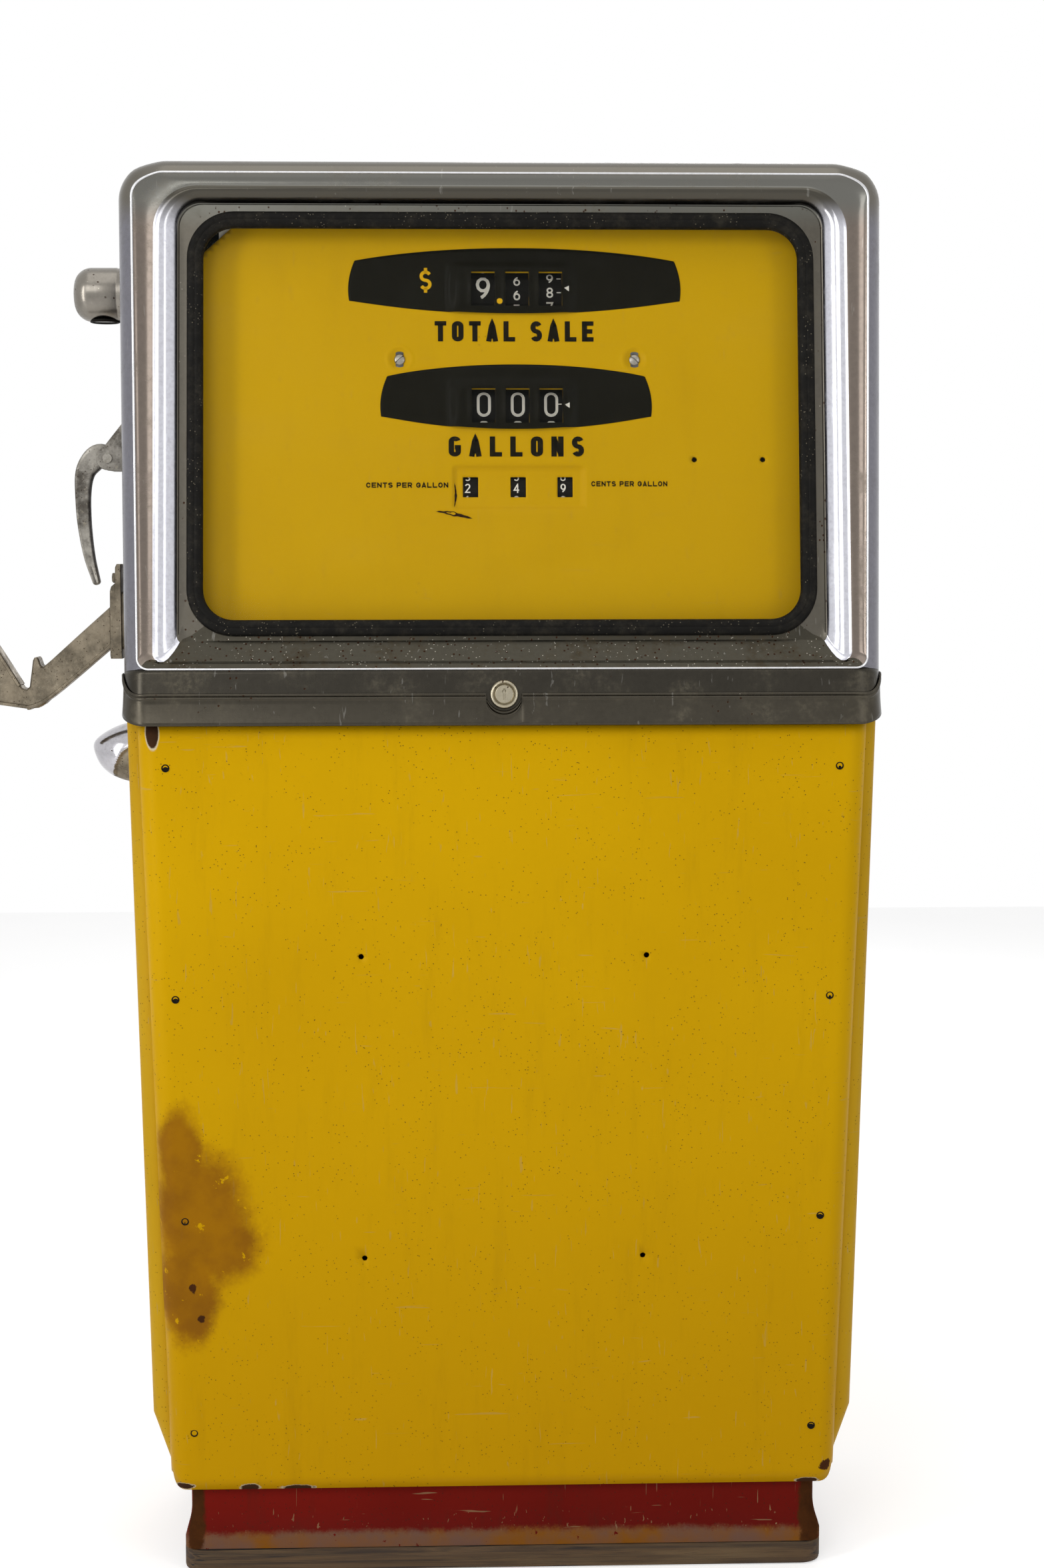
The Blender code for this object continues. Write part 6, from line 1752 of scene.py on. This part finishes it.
@dataclass
class InnerWorks:
    """The solids that keep their own meshes: posts, shelf, pumping set, register and glass."""
    finishes: dict[str, tuple[str, ...]] = field(default_factory=lambda: {
        "frame": ("middle_shelf", "register_frame_left", "register_frame_right", "lock_cam"),
        "iron": ("front_post_left", "front_post_right", "rear_post_left", "rear_post_right", "pump_unit",
                 "pump_pulley", "motor_pulley", "air_separator"),
        "motor": ("motor",),
        "belt": ("drive_belt",),
        "alloy": ("flow_meter", "bevel_gearbox", "sale_shaft", "gallon_shaft", "price_shaft",
                  "register_drive_shaft"),
        "brass": ("discharge_pipe", "suction_pipe"),
        "drum": ("sale_wheel_1", "sale_wheel_2", "sale_wheel_3", "gallon_wheel_1", "gallon_wheel_2",
                 "gallon_wheel_3", "price_wheel_1", "price_wheel_2", "price_wheel_3"),
        "lamp": ("dial_lamp_tube",),
        "white": ("lampholder_left", "lampholder_right"),
        "pane": ("dial_glass",),
        "flank": ("door_hinge",),
        "screw": ("lever_pin",),
        "side": ("rear_blank_plate",),
    })

    def dress(self, nodes: dict[str, bpy.types.Object]) -> None:
        """Gives each kept solid its material.

        Args:
            nodes: the CAD nodes by name.
        """
        for finish, names in self.finishes.items():
            for name in names:
                nodes[name].data.materials.clear()
                nodes[name].data.materials.append(finish_of(finish))
                LOG.info("%s keeps its solid", name)


# Stage -----------------------------------------------------------------------------------

@dataclass(frozen=True)
class Softbox:
    """A rectangular lamp."""
    name: str
    place: tuple[float, float, float]
    target: tuple[float, float, float]
    size: tuple[float, float]
    power: float

    def add(self) -> None:
        """Puts the lamp in the scene, facing its target."""
        lamp = bpy.data.lights.new(self.name, "AREA")
        lamp.shape = "RECTANGLE"
        lamp.size, lamp.size_y = self.size
        lamp.energy = self.power
        obj = bpy.data.objects.new(self.name, lamp)
        obj.location = self.place
        obj.rotation_euler = (Vector(self.target) - Vector(self.place)).to_track_quat("-Z", "Y").to_euler()
        bpy.context.scene.collection.objects.link(obj)


@dataclass(frozen=True)
class Stage:
    """Camera, lamps, world and floor."""
    eye: tuple[float, float, float] = (-0.0532, -2.5537, 1.0966)
    yaw: float = 1.758
    pitch: float = 5.704
    roll: float = -0.073
    lens: float = 52.76
    floor_size: float = 9.0
    fill: float = 0.42
    floor_glow: float = 0.50
    lamps: tuple[Softbox, ...] = (
        Softbox("key_softbox", (-1.4, -3.3, 2.7), (0, -0.2, 0.9), (1.6, 1.6), 19.0),
        Softbox("right_softbox", (2.1, -2.2, 1.5), (0, -0.2, 0.9), (0.5, 2.2), 9.0),
        Softbox("left_softbox", (-2.0, -1.5, 1.3), (0, -0.2, 0.9), (0.35, 2.2), 17.0),
        Softbox("top_softbox", (0.0, -0.6, 3.4), (0, 0, 0.8), (2.2, 2.2), 12.0),
        Softbox("back_softbox", (0.8, 3.2, 2.4), (0, 0, 0.8), (1.6, 1.6), 18.0),
    )

    def build(self) -> None:
        """Makes all of it."""
        self._camera()
        self._world()
        self._floor()
        for lamp in self.lamps:
            lamp.add()
        bpy.context.scene.view_settings.view_transform = "Standard"

    def _camera(self) -> None:
        """Looks along (sin yaw cos pitch, cos yaw cos pitch, -sin pitch), turned by the roll."""
        yaw, pitch, roll = (math.radians(angle) for angle in (self.yaw, self.pitch, self.roll))
        ahead = Vector((math.sin(yaw) * math.cos(pitch), math.cos(yaw) * math.cos(pitch), -math.sin(pitch)))
        right = Vector((math.cos(yaw), -math.sin(yaw), 0.0))
        up = right.cross(ahead)
        turned = right * math.cos(roll) + up * math.sin(roll), up * math.cos(roll) - right * math.sin(roll)
        data = bpy.data.cameras.new("camera")
        data.lens, data.sensor_width, data.sensor_fit = self.lens, 36.0, "AUTO"
        camera = bpy.data.objects.new("camera", data)
        camera.matrix_world = Matrix((*zip(turned[0], turned[1], -ahead, Vector(self.eye)), (0, 0, 0, 1)))
        bpy.context.scene.collection.objects.link(camera)
        bpy.context.scene.camera = camera

    def _seen(self, tree: bpy.types.NodeTree) -> bpy.types.NodeSocket:
        """1 on camera, glossy and transmission rays."""
        path = tree.nodes.new("ShaderNodeLightPath")
        total = path.outputs["Is Camera Ray"]
        for name in ("Is Glossy Ray", "Is Transmission Ray"):
            add = tree.nodes.new("ShaderNodeMath")
            add.operation = "MAXIMUM"
            tree.links.new(total, add.inputs[0])
            tree.links.new(path.outputs[name], add.inputs[1])
            total = add.outputs[0]
        return total

    def _world(self) -> None:
        """White to the eye and to gloss, and an even fill for everything else."""
        world = bpy.data.worlds.new("studio")
        world.use_nodes = True
        tree = world.node_tree
        sky = tree.nodes["Background"]
        sky.inputs["Color"].default_value = (1, 1, 1, 1)
        level = tree.nodes.new("ShaderNodeMapRange")
        tree.links.new(self._seen(tree), level.inputs[0])
        level.inputs[3].default_value, level.inputs[4].default_value = self.fill, 1.0
        tree.links.new(level.outputs[0], sky.inputs["Strength"])
        bpy.context.scene.world = world

    def _floor(self) -> None:
        """A pale square with a slight unevenness."""
        half, steps = self.floor_size / 2, np.linspace(-1, 1, 9)
        x, y = np.meshgrid(steps * half, steps * half, indexing="ij")
        paint = Paintwork("floor_paper")
        colour = paint.mix(paint.noise(3, 3), (0.86, 0.86, 0.86), (0.90, 0.90, 0.90))
        sheet = Surfaces().grid(np.stack([x, y, np.full_like(x, -0.0004)], -1), out=(0, 0, 1))
        material = paint.finish(colour, 0.8)
        glow = paint.maths("MULTIPLY", self._seen(material.node_tree), self.floor_glow)
        paint.links.new(glow, paint.shader.inputs["Emission Strength"])
        paint.shader.inputs["Emission Color"].default_value = (1, 1, 1, 1)
        sheet.build("floor", [material], closed=False)


def main() -> None:
    """Builds the pump's looks in order."""
    logging.basicConfig(level=logging.INFO, format="%(name)s: %(message)s")
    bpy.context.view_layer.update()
    InnerWorks().dress(frame["nodes"])
    DoorFrame(Facing.FRONT).build("front_door", ["front_bezel", "skirt_band"])
    DoorFrame(Facing.REAR).build("cabinet", ["rear_bezel"])
    Window().build()
    Lock().build()
    Hood().build()
    for facing in Facing:
        LowerPanel(facing).build()
    for side in Side:
        SidePanel(side).build()
    Base().build()
    Dial().build()
    for wheel in counter_wheels():
        wheel.build()
    Fittings().build()
    Stage().build()


if __name__ == "__main__":
    main()
